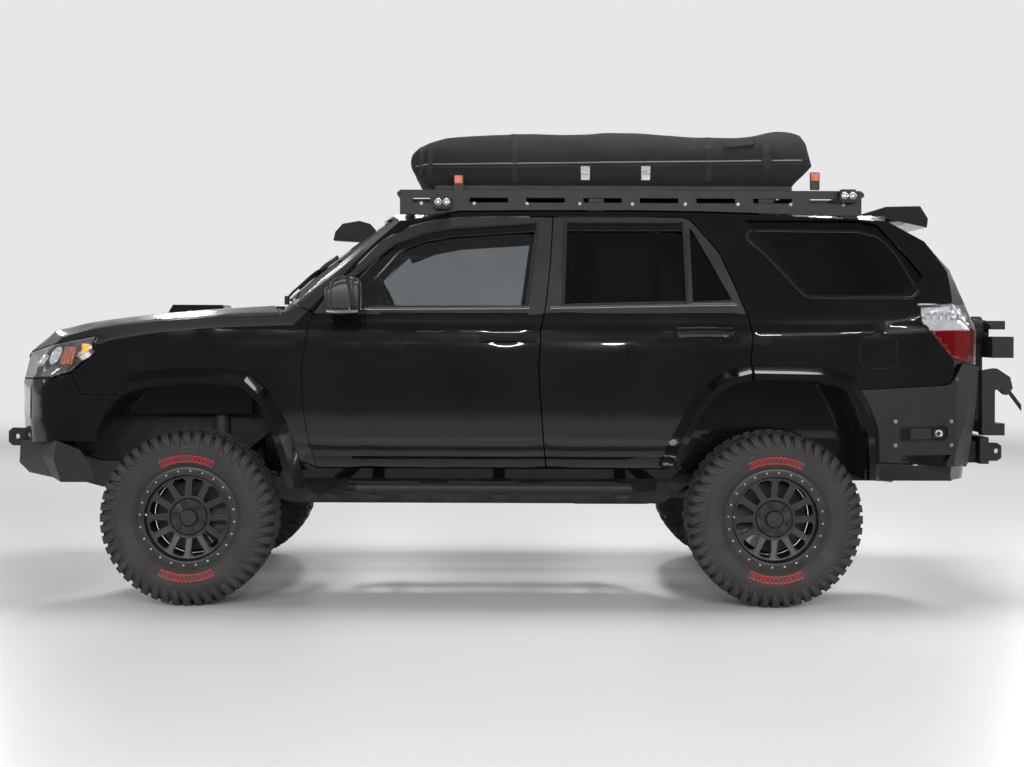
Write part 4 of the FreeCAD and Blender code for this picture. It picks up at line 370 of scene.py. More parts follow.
def finish(name):
    """The procedural material of one finish, built once."""
    if name in FINISHED:
        return FINISHED[name]
    facts = FINISHES[name]
    material, tree, shader = new_material(name)
    drift = shared(
        tree, "drift",
        {"Colour": rgba(facts["colour"]), "Second colour": rgba(facts["second"]), "Size": facts["size"]},
    )
    dust = shared(tree, "dust", {"Colour": drift.outputs["Colour"], "Amount": facts.get("dust", 0.0)})
    tree.links.new(dust.outputs["Colour"], shader.inputs["Base Color"])
    low, high = facts["rough"]
    rough = ramp(tree, drift.outputs["Mask"], 0.0, 1.0, To_Min=low, To_Max=high)
    tree.links.new(rough, shader.inputs["Roughness"])
    height = shared(tree, "grain", {"Size": facts["grain"]}).outputs["Height"]
    if "weave" in facts:
        weave = shared(tree, "weave", {"Threads": facts["weave"]})
        height = maths(tree, "ADD", height, weave.outputs["Height"])
    bump = add_node(tree, "ShaderNodeBump", {"Height": height, "Distance": facts["depth"], "Strength": 1.0})
    tree.links.new(bump.outputs["Normal"], shader.inputs["Normal"])
    shader.inputs["Metallic"].default_value = facts.get("metal", 0.0)
    shader.inputs["Coat Weight"].default_value = facts.get("coat", 0.0)
    if "glow" in facts:
        tree.links.new(drift.outputs["Colour"], shader.inputs["Emission Color"])
        shader.inputs["Emission Strength"].default_value = facts["glow"]
    shader.inputs["Coat Roughness"].default_value = 0.03
    shader.inputs["Coat IOR"].default_value = facts.get("coat_ior", 1.5)
    shader.inputs["Specular IOR Level"].default_value = facts.get("specular", 0.5)
    return material


def clear_finish(name, colour, rough):
    """Glass or clear lamp plastic, with a light smear of dust in its roughness."""
    if name in FINISHED:
        return FINISHED[name]
    material, tree, shader = new_material(name)
    tint = shared(
        tree, "drift",
        {"Colour": rgba(colour), "Second colour": rgba([c * 0.93 for c in colour]), "Size": 5.0},
    )
    smear = ramp(tree, tint.outputs["Mask"], 0.0, 1.0, To_Min=rough, To_Max=rough + 0.02)
    tree.links.new(tint.outputs["Colour"], shader.inputs["Base Color"])
    tree.links.new(smear, shader.inputs["Roughness"])
    shader.inputs["Transmission Weight"].default_value = 1.0
    shader.inputs["IOR"].default_value = 1.46
    return material


# The tinted panes and lenses. The front panes are pale, those behind the front doors dark.
CLEAR = {
    "front_glass": ((0.42, 0.44, 0.45), 0.0), "rear_glass": ((0.045, 0.048, 0.052), 0.0),
    "lamp_clear": ((0.93, 0.94, 0.95), 0.03), "lamp_red": ((0.62, 0.015, 0.012), 0.03),
}


# Stage
def linked(name, data):
    """A new object of some data, linked to the scene."""
    made = bpy.data.objects.new(name, data)
    bpy.context.scene.collection.objects.link(made)
    return made


def mesh_from(shape, name, degrees=None):
    """Turns a bmesh into a mesh and frees it. With an angle given, it is shaded smooth up to that."""
    mesh = bpy.data.meshes.new(name)
    shape.to_mesh(mesh)
    shape.free()
    if degrees:
        smooth_shading(mesh, degrees)
    return mesh


def seen_rays(tree, shiny):
    """Where the backdrop shows: to the camera, through glass and, by the share given, in shiny things."""
    paths = add_node(tree, "ShaderNodeLightPath")
    glossy = maths(tree, "MULTIPLY", paths.outputs["Is Glossy Ray"], shiny)
    first = maths(tree, "MAXIMUM", paths.outputs["Is Camera Ray"], glossy)
    return maths(tree, "MAXIMUM", first, paths.outputs["Is Transmission Ray"])


def make_floor(settings):
    """A pale floor that fades into the backdrop, out of the lamps' reach."""
    shape = bmesh.new()
    bmesh.ops.create_circle(shape, cap_ends=True, radius=60.0, segments=64)
    floor = linked("floor", mesh_from(shape, "floor"))
    pale = bpy.data.materials.new("pale_floor")
    pale.use_nodes = True
    tree = pale.node_tree
    shader = tree.nodes["Principled BSDF"]
    shader.inputs["Base Color"].default_value = rgba(settings.floor_colour)
    shader.inputs["Roughness"].default_value = 0.30
    shader.inputs["Specular IOR Level"].default_value = 0.4
    place = add_node(tree, "ShaderNodeTexCoord")
    far = add_node(tree, "ShaderNodeVectorMath", {0: place.outputs["Object"]}, operation="LENGTH")
    fade = ramp(tree, far.outputs["Value"], 4.5, 17.0, "SMOOTHSTEP")
    split = add_node(tree, "ShaderNodeSeparateXYZ", {"Vector": place.outputs["Object"]})
    share = maths(tree, "MULTIPLY", fade, seen_rays(tree, ramp(tree, split.outputs["Y"], -2.0, 4.0)))
    backdrop = add_node(
        tree, "ShaderNodeEmission", {"Color": rgba(settings.world_colour), "Strength": 1.0}
    )
    mixed = add_node(tree, "ShaderNodeMixShader", {0: share, 1: shader.outputs[0], 2: backdrop.outputs[0]})
    tree.links.new(mixed.outputs[0], tree.nodes["Material Output"].inputs["Surface"])
    floor.data.materials.append(pale)
    floor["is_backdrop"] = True


def make_world(settings):
    """A dim ceiling round the object, and a pale curtain where the camera or glass looks."""
    world = bpy.data.worlds.new("soft_studio")
    bpy.context.scene.world = world
    world.use_nodes = True
    tree = world.node_tree
    direction = add_node(tree, "ShaderNodeTexCoord")
    split = add_node(tree, "ShaderNodeSeparateXYZ", {"Vector": direction.outputs["Generated"]})
    curtain = ramp(tree, split.outputs["Y"], -0.10, 0.45, "SMOOTHSTEP", To_Max=settings.curtain_share)
    low = ramp(tree, split.outputs["Z"], 0.06, 0.40, "SMOOTHSTEP", To_Min=1.0, To_Max=0.0)
    share = seen_rays(tree, maths(tree, "MULTIPLY", curtain, low))
    sky = blend(tree, share, rgba(settings.ceiling_colour), rgba(settings.world_colour))
    tree.links.new(sky, tree.nodes["Background"].inputs["Color"])


def make_lamps():
    """Soft boxes above and at the ends, and rows of small hall lamps on both sides."""
    lamps = [
        ("top_softbox", (1.2, 0.3, 6.0), (0, 0, 0), (4.2, 2.2), 250),
        ("front_softbox", (-8.5, -1.5, 3.0), (0, math.radians(-72), 0), (1.6, 3.4), 110),
        ("rear_softbox", (8.5, 0.0, 3.0), (0, math.radians(72), 0), (0.8, 3.4), 120),
    ]
    for k in range(6):
        x = -6.0 + 2.4 * k
        lamps.append((f"near_lamp_{k}", (x, -8.2, 4.0), (math.radians(70), 0, 0), (0.55, 0.40), 85))
        lamps.append((f"far_lamp_{k}", (x, 8.2, 4.0), (math.radians(-70), 0, 0), (0.55, 0.40), 85))
        lamps.append((f"low_lamp_{k}", (x + 1.2, -8.2, 2.9), (math.radians(80), 0, 0), (0.40, 0.24), 34))
    for name, place, turn, size, power in lamps:
        lamp = bpy.data.lights.new(name, "AREA")
        lamp.shape = "RECTANGLE"
        lamp.size, lamp.size_y = size
        lamp.energy = power
        holder = linked(name, lamp)
        holder.location = place
        holder.rotation_euler = turn


# The photograph's camera, level and from the side: lens in millimetres, place in metres.
CAMERA_LENS = 57.92
CAMERA_SHIFT = (0.01328, -0.05747)
CAMERA_PLACE = (-0.0585, -8.754, 1.340)
CAMERA_ROLL = -0.00356


def make_stage():
    """The pale floor, the soft lamps, the world and the camera."""
    scene = bpy.context.scene
    scene.view_settings.view_transform = "Standard"
    make_floor(scene.lifted_stage)
    make_world(scene.lifted_stage)
    make_lamps()
    eye = bpy.data.cameras.new("photo_camera")
    eye.lens, eye.sensor_width = CAMERA_LENS, 36.0
    eye.shift_x, eye.shift_y = CAMERA_SHIFT
    camera = linked("photo_camera", eye)
    camera.location = CAMERA_PLACE
    camera.rotation_euler = (math.pi / 2, CAMERA_ROLL, 0)
    scene.camera = camera


# The CAD nodes' own finishes
NODE_FINISHES = {
    "ladder_frame": "frame_paint", "engine_block": "cast_metal", "driveline": "cast_metal",
    "exhaust": "raw_steel", "fuel_tank": "black_plastic", "front_suspension": "frame_paint",
    "steering_rack": "aluminium_parts", "rear_axle": "frame_paint", "body_shell": "body_paint",
    "front_fenders": "body_paint", "front_fascia": "body_paint", "grille": "black_plastic",
    "headlamps": "lamp_clear", "tail_lamps": "lamp_red", "fixed_glass": "rear_glass",
    "front_bumper": "satin_black", "rear_bumper": "satin_black", "hitch_receiver": "satin_black",
    "side_steps": "satin_black", "roof_rack": "satin_black", "roof_tent": "tent_fabric",
    "snorkel": "black_plastic", "seats": "seat_leather", "dashboard": "black_plastic",
    "hood": "body_paint", "tailgate": "body_paint", "tailgate_glass": "rear_glass",
    "carrier": "satin_black", "steering_wheel": "seat_leather", "tie_rods": "raw_steel",
    "knuckle_left": "cast_metal", "knuckle_right": "cast_metal",
}
for place in WHEELS:
    NODE_FINISHES.update({
        "tyre_" + place: "tyre_rubber", "wheel_" + place: "wheel_black",
        "door_" + place: "body_paint", "glass_" + place: place.split("_")[0] + "_glass",
    })


def any_finish(name):
    """The material of a finish, clear or not."""
    return clear_finish(name, *CLEAR[name]) if name in CLEAR else finish(name)


def finish_nodes():
    """Gives every CAD node its finish."""
    unknown = sorted(set(NODES) ^ set(NODE_FINISHES))
    if unknown:
        raise RuntimeError(f"nodes without a finish, or finishes without a node: {unknown}")
    for name, node in NODES.items():
        for place in node.material_slots:
            place.material = any_finish(NODE_FINISHES[name])


# Mesh tools
def new_piece(name, mesh, body, materials=None, slot=None, replaced=()):
    """Links a finished mesh as a piece that rides on a body, in its own materials or these."""
    piece = linked(name, mesh)
    if materials:
        slots = [0] * len(mesh.polygons)
        mesh.polygons.foreach_get("material_index", slots)
        mesh.materials.clear()
        for material in materials:
            mesh.materials.append(any_finish(material))
        mesh.polygons.foreach_set("material_index", slots)
    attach(piece, body)
    if replaced:
        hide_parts(*replaced)
    return piece


def smooth_shading(mesh, degrees):
    """Shades a mesh smooth, but for the edges that are sharper than an angle."""
    for polygon in mesh.polygons:
        polygon.use_smooth = True
    mesh.set_sharp_from_angle(angle=math.radians(degrees))


def welded_copy(node):
    """A bmesh of a CAD node with its loose triangles merged and flat ones joined."""
    shape = bmesh.new()
    shape.from_mesh(NODES[node].data)
    bmesh.ops.remove_doubles(shape, verts=shape.verts, dist=2e-5)
    bmesh.ops.dissolve_limit(
        shape, angle_limit=math.radians(0.4), verts=shape.verts, edges=shape.edges
    )
    return shape


def cut_on_grid(shape, pitches, extra=()):
    """Cuts the mesh on planes across X, Y and Z at these pitches, and at extra (axis, place) planes."""
    planes = list(extra)
    for axis, pitch in enumerate(pitches):
        if pitch:
            ends = [v.co[axis] for v in shape.verts]
            low = math.ceil(min(ends) / pitch)
            high = math.floor(max(ends) / pitch)
            planes += [(axis, k * pitch) for k in range(low, high + 1)]
    for axis, place in planes:
        normal = Vector([1.0 if k == axis else 0.0 for k in range(3)])
        geometry = shape.verts[:] + shape.edges[:] + shape.faces[:]
        bmesh.ops.bisect_plane(shape, geom=geometry, plane_co=normal * place, plane_no=normal, dist=2e-4)
    wide = [face for face in shape.faces if len(face.verts) > 4]
    bmesh.ops.triangulate(shape, faces=wide)


def relax(shape, rounds, sharp, most):
    """Rounds off the facets of a skin and leaves its sharp edges where they are."""
    limit = math.radians(sharp)
    fixed = set()
    for edge in shape.edges:
        if len(edge.link_faces) != 2 or edge.calc_face_angle(math.pi) > limit:
            fixed.update(edge.verts)
    free = [v for v in shape.verts if v not in fixed and v.link_edges]
    start = {v: v.co.copy() for v in free}
    for _ in range(rounds):
        moved = []
        for v in free:
            middle = Vector()
            for edge in v.link_edges:
                middle += edge.other_vert(v).co
            moved.append(v.co.lerp(middle / len(v.link_edges), 0.5))
        for v, place in zip(free, moved):
            v.co = place
    for v in free:
        shift = v.co - start[v]
        if shift.length > most:
            v.co = start[v] + shift.normalized() * most


# Body lines on the sides: (height, outward shift) in metres, smooth between the rows.
SIDE_LINES = [
    (0.600, 0.000), (0.652, 0.000), (0.676, -0.004), (0.700, -0.002), (0.712, 0.005), (0.740, 0.002),
    (0.768, -0.005), (0.786, 0.003), (0.840, 0.001), (1.000, 0.000), (1.180, 0.000), (1.255, 0.001),
    (1.296, 0.004), (1.311, 0.0065), (1.322, 0.000), (1.345, -0.003), (1.380, 0.000), (1.420, 0.000),
]
LINE_HEIGHTS = [z for z, _ in SIDE_LINES]
LINES_FROM, LINES_TO, LINES_FADE = -1.92, 2.10, 0.35
LOW_LINE_TOP, LOW_LINE_FROM, LOW_LINE_TO = 0.80, -0.98, 0.80


def clamped(share):
    """A share kept between 0 and 1."""
    return min(1.0, max(0.0, share))


def side_shift(x, z):
    """How far the body lines stand out from the plain side at one place."""
    if not LINE_HEIGHTS[0] < z < LINE_HEIGHTS[-1]:
        return 0.0
    for (low, before), (high, after) in zip(SIDE_LINES, SIDE_LINES[1:]):
        if z <= high:
            amount = before + (after - before) * (z - low) / (high - low)
            break
    if z < LOW_LINE_TOP and not LOW_LINE_FROM < x < LOW_LINE_TO:
        return 0.0
    ends = clamped((x - LINES_FROM) / LINES_FADE) * clamped((LINES_TO - x) / LINES_FADE)
    return amount * ends


def press_side_lines(shape):
    """Moves the outward faces of a side panel to its pressed body lines."""
    chosen = {}
    for face in shape.faces:
        middle = face.calc_center_median()
        sign = math.copysign(1, middle.y)
        if abs(middle.y) > 0.55 and face.normal.y * sign > 0.55:
            for v in face.verts:
                chosen[v] = sign
    for v, sign in chosen.items():
        v.co.y += sign * side_shift(v.co.x, v.co.z)


def mirror_planes(box):
    """Planes across a mirror head, closer together at its edges."""
    low, high = box
    steps = (0.05, 0.14, 0.28, 0.5, 0.72, 0.86, 0.95)
    return [(axis, low[axis] + (high[axis] - low[axis]) * step) for axis in range(3) for step in steps]


def round_mirror(shape, box):
    """Rounds the head of a door mirror to the pebble shape of a real one."""
    low, high = box
    centre, half = (low + high) / 2, (high - low) / 2
    sign = math.copysign(1, centre.y)
    for v in shape.verts:
        share = clamped((v.co.y * sign - 0.958) / 0.012)
        inside = all(low[k] - 0.002 < v.co[k] < high[k] + 0.002 for k in (0, 2))
        if not share or not inside:
            continue
        off = [(v.co[k] - centre[k]) / half[k] for k in range(3)]
        out = max(0.0, off[1] * sign)
        flat = (abs(off[0]), abs(off[2]), out)
        norm = sum(part ** 3.2 for part in flat) ** (1 / 3.2)
        scale = 1.0 if norm < 1e-6 else 1.0 + (max(flat) / norm - 1.0) * share
        v.co.x = centre.x + off[0] * half.x * scale
        v.co.z = centre.z + off[2] * half.z * scale
        if out:
            v.co.y = centre.y + off[1] * half.y * scale
        lift = max(0.0, -off[0]) * max(0.0, off[2]) * share
        v.co.z -= 0.030 * lift


def panel(node, body, pitches, lines, materials=("body_paint",), pick=None):
    """A painted panel: the CAD panel with its facets rounded and its lines pressed."""
    shape = welded_copy(node)
    extra = [(2, z) for z in LINE_HEIGHTS] if lines else []
    mirror = mirror_box(node, SIDES[node.rsplit("_", 1)[1]]) if node.startswith("door_front") else None
    if mirror:
        extra += mirror_planes(mirror)
    cut_on_grid(shape, pitches, extra)
    relax(shape, 14, 24.0, 0.007)
    if mirror:
        round_mirror(shape, mirror)
    if lines:
        shape.normal_update()
        press_side_lines(shape)
    shape.normal_update()
    for face in shape.faces:
        face.material_index = pick(face) if pick else 0
    mesh = mesh_from(shape, node + "_panel")
    if "custom_normal" in mesh.attributes:
        mesh.attributes.remove(mesh.attributes["custom_normal"])
    smooth_shading(mesh, 26)
    new_piece(node + "_panel", mesh, body, materials, "body_paint", (node,))


# Where the finishes of the panels meet: the doors' belt line, and the liners' bounds in the arches.
BELT = 1.392
ARCH_REACH = 0.64
ARCH_TOP = 1.13
LINER_OUTSIDE = 0.885


def door_material(face):
    """Window frames are satin; the rest of the door is paint."""
    return 1 if face.calc_center_median().z > BELT else 0


def liner_material(face):
    """The wheel housings inside the arches are bare plastic; the outside is paint."""
    middle = face.calc_center_median()
    inward = face.normal.y * math.copysign(1, middle.y) < 0.45
    near = min(abs(middle.x - FRONT_AXLE), abs(middle.x - REAR_AXLE)) < ARCH_REACH
    return 1 if near and inward and middle.z < ARCH_TOP and abs(middle.y) < LINER_OUTSIDE else 0


def make_panels():
    """Dresses the doors, fenders, hood, fascia, tailgate and body shell."""
    settings = bpy.context.scene.lifted_body
    fine = settings.panel_grid
    for side in SIDES:
        for end in ("front", "rear"):
            name = f"door_{end}_{side}"
            panel(name, name, (fine, 0, fine), True, ("body_paint", "frame_trim"), door_material)
    lined = ("body_paint", "black_plastic")
    panel("front_fenders", "chassis", (fine, fine * 1.3, fine), True, lined, liner_material)
    panel("hood", "hood", (fine * 1.2, fine * 1.2, 0), False)
    panel("front_fascia", "chassis", (fine, fine, fine), False)
    panel("tailgate", "tailgate", (fine, fine * 1.3, fine * 1.3), False)
    panel("body_shell", "chassis", [fine * 1.2] * 3, True, lined, liner_material)


def ring_tree():
    """Geometry Nodes that repeat a seed mesh round the wheel axis, Y."""
    name = "Ring of copies"
    if name in bpy.data.node_groups:
        return bpy.data.node_groups[name]
    tree = bpy.data.node_groups.new(name, "GeometryNodeTree")
    face = tree.interface
    face.new_socket("Geometry", in_out="INPUT", socket_type="NodeSocketGeometry")
    count = face.new_socket("Count", in_out="INPUT", socket_type="NodeSocketInt")
    count.default_value = 12
    start = face.new_socket("Start angle", in_out="INPUT", socket_type="NodeSocketFloat")
    start.subtype = "ANGLE"
    face.new_socket("Material", in_out="INPUT", socket_type="NodeSocketMaterial")
    face.new_socket("Geometry", in_out="OUTPUT", socket_type="NodeSocketGeometry")
    given = tree.nodes.new("NodeGroupInput")
    made = tree.nodes.new("NodeGroupOutput")
    points = add_node(tree, "GeometryNodePoints", {"Count": given.outputs["Count"]})
    index = add_node(tree, "GeometryNodeInputIndex")
    step = maths(tree, "DIVIDE", 2 * math.pi, given.outputs["Count"])
    turn = maths(tree, "MULTIPLY_ADD", index.outputs[0], step, given.outputs["Start angle"])
    vector = add_node(tree, "ShaderNodeCombineXYZ", {"Y": turn})
    rotation = add_node(tree, "FunctionNodeEulerToRotation", {"Euler": vector.outputs[0]})
    inputs = {"Points": points.outputs[0], "Instance": given.outputs["Geometry"],
              "Rotation": rotation.outputs[0]}
    copies = add_node(tree, "GeometryNodeInstanceOnPoints", inputs)
    real = add_node(tree, "GeometryNodeRealizeInstances", {"Geometry": copies.outputs[0]})
    inputs = {"Geometry": real.outputs[0], "Material": given.outputs["Material"]}
    coloured = add_node(tree, "GeometryNodeSetMaterial", inputs)
    tree.links.new(coloured.outputs[0], made.inputs[0])
    return tree


def run_tree(tree, seed_mesh, values):
    """The plain mesh that a Geometry Nodes tree makes of a seed mesh."""
    holder = linked("holder", seed_mesh)
    modifier = holder.modifiers.new("maker", "NODES")
    modifier.node_group = tree
    sockets = {
        item.name: item.identifier
        for item in tree.interface.items_tree
        if item.item_type == "SOCKET" and item.in_out == "INPUT"
    }
    for name, value in values.items():
        modifier[sockets[name]] = value
    holder.update_tag()
    bpy.context.view_layer.update()
    seen = holder.evaluated_get(bpy.context.evaluated_depsgraph_get())
    mesh = bpy.data.meshes.new_from_object(seen)
    holder.modifiers.remove(modifier)
    bpy.data.objects.remove(holder)
    return mesh


def ring_of(seed_shape, count, material, start=0.0):
    """Copies of a seed round the wheel axis as one mesh."""
    given = {"Count": count, "Start angle": start, "Material": any_finish(material)}
    return run_tree(ring_tree(), mesh_from(seed_shape, "seed"), given)


def circle_of(count, radius=1.0):
    """Points evenly round a circle, as pairs."""
    turns = [2 * math.pi * k / count for k in range(count)]
    return [(radius * math.cos(a), radius * math.sin(a)) for a in turns]


def ring_points(count, radius, y, middle=0.0):
    """Points round a circle across Y, at a distance across and with its middle at an x."""
    return [Vector((middle + u, y, v)) for u, v in circle_of(count, radius)]


def polar(radius, degrees, y):
    """The point at a radius and an angle about Y, at a distance across."""
    angle = math.radians(degrees)
    return Vector((radius * math.cos(angle), y, radius * math.sin(angle)))


def add_lathe(shape, profile, segments, closed=False):
    """Turns a (y, radius) outline about Y and adds it to the mesh."""
    rings = []
    for y, radius in profile:
        if radius < 1e-6:
            rings.append([shape.verts.new((0, y, 0))])
            continue
        rings.append([shape.verts.new(p) for p in ring_points(segments, radius, y)])
    pairs = list(zip(rings, rings[1:]))
    if closed:
        pairs.append((rings[-1], rings[0]))
    made = []
    for one, two in pairs:
        for k in range(segments):
            after = (k + 1) % segments
            if len(one) == 1 and len(two) == 1:
                break
            if len(one) == 1:
                corners = (one[0], two[k], two[after])
            elif len(two) == 1:
                corners = (one[k], two[0], one[after])
            else:
                corners = (one[k], two[k], two[after], one[after])
            made.append(shape.faces.new(corners))
    return made


def add_prism(shape, low, high):
    """Joins two outlines of the same number of points and closes the ends."""
    first = [shape.verts.new(p) for p in low]
    second = [shape.verts.new(p) for p in high]
    faces = [shape.faces.new(first), shape.faces.new(list(reversed(second)))]
    for k in range(len(first)):
        after = (k + 1) % len(first)
        faces.append(shape.faces.new((first[after], first[k], second[k], second[after])))
    return faces


def outward(shape):
    """Turns all faces outwards."""
    bmesh.ops.recalc_face_normals(shape, faces=shape.faces[:])


def fused_rows(shape):
    """Joins prisms that share an end: the shared ends go, and the rest is turned outwards."""
    bmesh.ops.remove_doubles(shape, verts=shape.verts, dist=1e-6)
    inner = [face for face in shape.faces if all(len(edge.link_faces) > 2 for edge in face.edges)]
    bmesh.ops.delete(shape, geom=inner, context="FACES_ONLY")
    outward(shape)


TYRE_PROFILE = [
    (0.1105, 0.2190), (0.1140, 0.2380), (0.1215, 0.2475), (0.1290, 0.2560), (0.1325, 0.2620),
    (0.1335, 0.2700), (0.1405, 0.2860), (0.1450, 0.3040), (0.1462, 0.3220), (0.1448, 0.3400),
    (0.1405, 0.3580), (0.1340, 0.3730), (0.1260, 0.3850), (0.1130, 0.3940), (0.0900, 0.4000),
    (0.0500, 0.4035), (0.0000, 0.4045),
]


TREAD_PITCHES = 24
PITCH_UNITS = 8.2
LUG_DEPTH = 0.0128
TYRE_STEPS = 176


def lug_points(outline):
    """A tread block: its (across, degrees) outline lifted from the carcass, a little narrower on top."""
    low, high = [], []
    for y, degrees in outline:
        radius = tread_radius(y)
        low.append(polar(radius - 0.004, degrees, y))
        high.append(polar(radius + LUG_DEPTH, degrees, y * 0.985))
    return low, high


def tread_radius(y):
    """The carcass radius at one distance across."""
    points = sorted((abs(a), r) for a, r in TYRE_PROFILE if r > 0.38)
    across = abs(y)
    for (a, r), (b, s) in zip(points, points[1:]):
        if across <= b:
            return r + (s - r) * (across - a) / (b - a)
    return points[-1][1]


def tread_pitch():
    """The blocks of one pitch of the tread, as a mesh to be repeated."""
    shape = bmesh.new()
    spread = 360 / TREAD_PITCHES / PITCH_UNITS
    blocks = [
        [(0.006, 0.5), (0.010, 3.4), (0.034, 4.4), (0.047, 2.6), (0.040, -0.2), (0.020, -1.6)],
        [(-0.004, 4.4), (-0.010, 7.2), (-0.030, 7.9), (-0.047, 6.0), (-0.040, 3.2), (-0.018, 2.2)],
        [(0.052, 3.3), (0.050, 6.2), (0.064, 7.2), (0.084, 6.8), (0.083, 3.8), (0.066, 2.6)],
        [(-0.052, -0.2), (-0.050, 2.7), (-0.066, 3.8), (-0.084, 3.3), (-0.083, 0.2), (-0.062, -0.9)],
    ]
    for outline in blocks:
        add_prism(shape, *lug_points([(y, a * spread) for y, a in outline]))
    for sign, shift in ((1, 0.0), (-1, 4.1)):
        for extra, width, foot in ((0.0, 2.9, 0.349), (4.1, 2.6, 0.336)):
            a = (shift + extra) * spread
            rows = [
                (0.088, 0.4175, 0.0, 1.0), (0.112, 0.4160, 0.15, 1.0), (0.1275, 0.4090, 0.25, 0.98),
                (0.1400, 0.3930, 0.1, 0.94), (0.1468, 0.3740, -0.35, 0.88),
                (0.1485, (foot + 0.374) / 2 + 0.004, -0.9, 0.74), (0.1475, foot, -1.5, 0.5),
            ]
            under = [
                (0.088, 0.396), (0.112, 0.391), (0.1240, 0.384), (0.1320, 0.374), (0.1385, 0.361),
                (0.1425, 0.352), (0.1440, foot),
            ]
            half = width * spread / 2
            for one, two, low_one, low_two in zip(rows, rows[1:], under, under[1:]):
                corners = []
                for (y, r, lean, share), (yl, rl) in ((one, low_one), (two, low_two)):
                    for side in (-1, 1):
                        corners.append((polar(rl, a + lean + side * half * share, sign * yl),
                                        polar(r, a + lean + side * half * share * 0.94, sign * y)))
                low = [corners[0][0], corners[1][0], corners[3][0], corners[2][0]]
                high = [corners[0][1], corners[1][1], corners[3][1], corners[2][1]]
                add_prism(shape, low, high)
    fused_rows(shape)
    return shape


def join_meshes(parts, name):
    """One mesh of several, with their materials kept."""
    shape = bmesh.new()
    materials = []
    for part in parts:
        places = []
        for material in part.materials:
            if material not in materials:
                materials.append(material)
            places.append(materials.index(material))
        before = len(shape.faces)
        shape.from_mesh(part)
        shape.faces.ensure_lookup_table()
        for face in shape.faces[before:]:
            face.material_index = places[min(face.material_index, len(places) - 1)]
    mesh = mesh_from(shape, name)
    for material in materials:
        mesh.materials.append(material)
    return mesh


def mesh_of(shape, name, material):
    """A mesh in one finish."""
    mesh = mesh_from(shape, name)
    mesh.materials.append(any_finish(material))
    return mesh


def tyre_mesh():
    """A tyre about the origin, its outer side towards +Y."""
    carcass = bmesh.new()
    profile = TYRE_PROFILE + [(-y, r) for y, r in reversed(TYRE_PROFILE[:-1])]
    inside = [(-0.100, 0.224), (-0.122, 0.290), (-0.126, 0.330), (-0.090, 0.382), (0.0, 0.388),
              (0.090, 0.382), (0.126, 0.330), (0.122, 0.290), (0.100, 0.224)]
    add_lathe(carcass, profile + inside, TYRE_STEPS, closed=True)
    outward(carcass)
    tread = ring_of(tread_pitch(), TREAD_PITCHES, "tyre_rubber")
    ribs = bmesh.new()
    for side in (1, -1):
        for y, r0, r1 in ((0.1318, 0.2585, 0.2605), (0.1455, 0.3290, 0.3312)):
            for k in range(TYRE_STEPS):
                a, b = 360.0 * k / TYRE_STEPS, 360.0 * (k + 1) / TYRE_STEPS
                low = [polar(r, angle, side * y) for r, angle in ((r0, a), (r1, a), (r1, b), (r0, b))]
                high = [p + Vector((0, side * 0.0022, 0)) for p in low]
                add_prism(ribs, low, high)
    fused_rows(ribs)
    mark = bmesh.new()
    for middle in (90.0, 270.0):
        for k in range(-6, 7):
            add_mark(mark, middle + k * 4.1)
    outward(mark)
    parts = [
        mesh_of(carcass, "carcass", "tyre_rubber"), tread, mesh_of(ribs, "ribs", "tyre_rubber"),
        mesh_of(mark, "mark", "tyre_mark"),
    ]
    mesh = join_meshes(parts, "tyre")
    smooth_shading(mesh, 34)
    return mesh


def add_mark(shape, middle):
    """One plain red dash with an open middle, raised from the sidewall."""
    wide, low, high, wall = 1.45, 0.2660, 0.3000, 0.0052
    turn = 0.42
    bars = [
        (-wide, -wide + turn, low, high), (wide - turn, wide, low, high),
        (-wide + turn, wide - turn, low, low + wall),
        (-wide + turn, wide - turn, high - wall, high),
    ]
    for a0, a1, r0, r1 in bars:
        for b0, b1 in ((a0, (a0 + a1) / 2), ((a0 + a1) / 2, a1)):
            ground = []
            for a, r in ((b0, r0), (b0, r1), (b1, r1), (b1, r0)):
                ground.append(polar(r, middle + a, sidewall_at(r) - 0.001))
            top = [p + Vector((0, 0.0026, 0)) for p in ground]
            add_prism(shape, ground, top)


def sidewall_at(radius):
    """How far across the sidewall lies at one radius."""
    for (y0, r0), (y1, r1) in zip(TYRE_PROFILE, TYRE_PROFILE[1:]):
        if r0 <= radius <= r1:
            return y0 + (y1 - y0) * (radius - r0) / (r1 - r0)
    return TYRE_PROFILE[-1][0]


def screw_seed(at_radius, y, radius, height):
    """A hexagon screw head with a washer, at angle zero."""
    shape = bmesh.new()
    step = y + height * 0.25
    for sides, r, y0, y1 in ((12, radius * 1.45, y, step), (6, radius, step, y + height)):
        low = ring_points(sides, r, y0, at_radius)
        add_prism(shape, low, ring_points(sides, r * 0.9, y1, at_radius))
    outward(shape)
    return shape


RING_FACE = 0.119


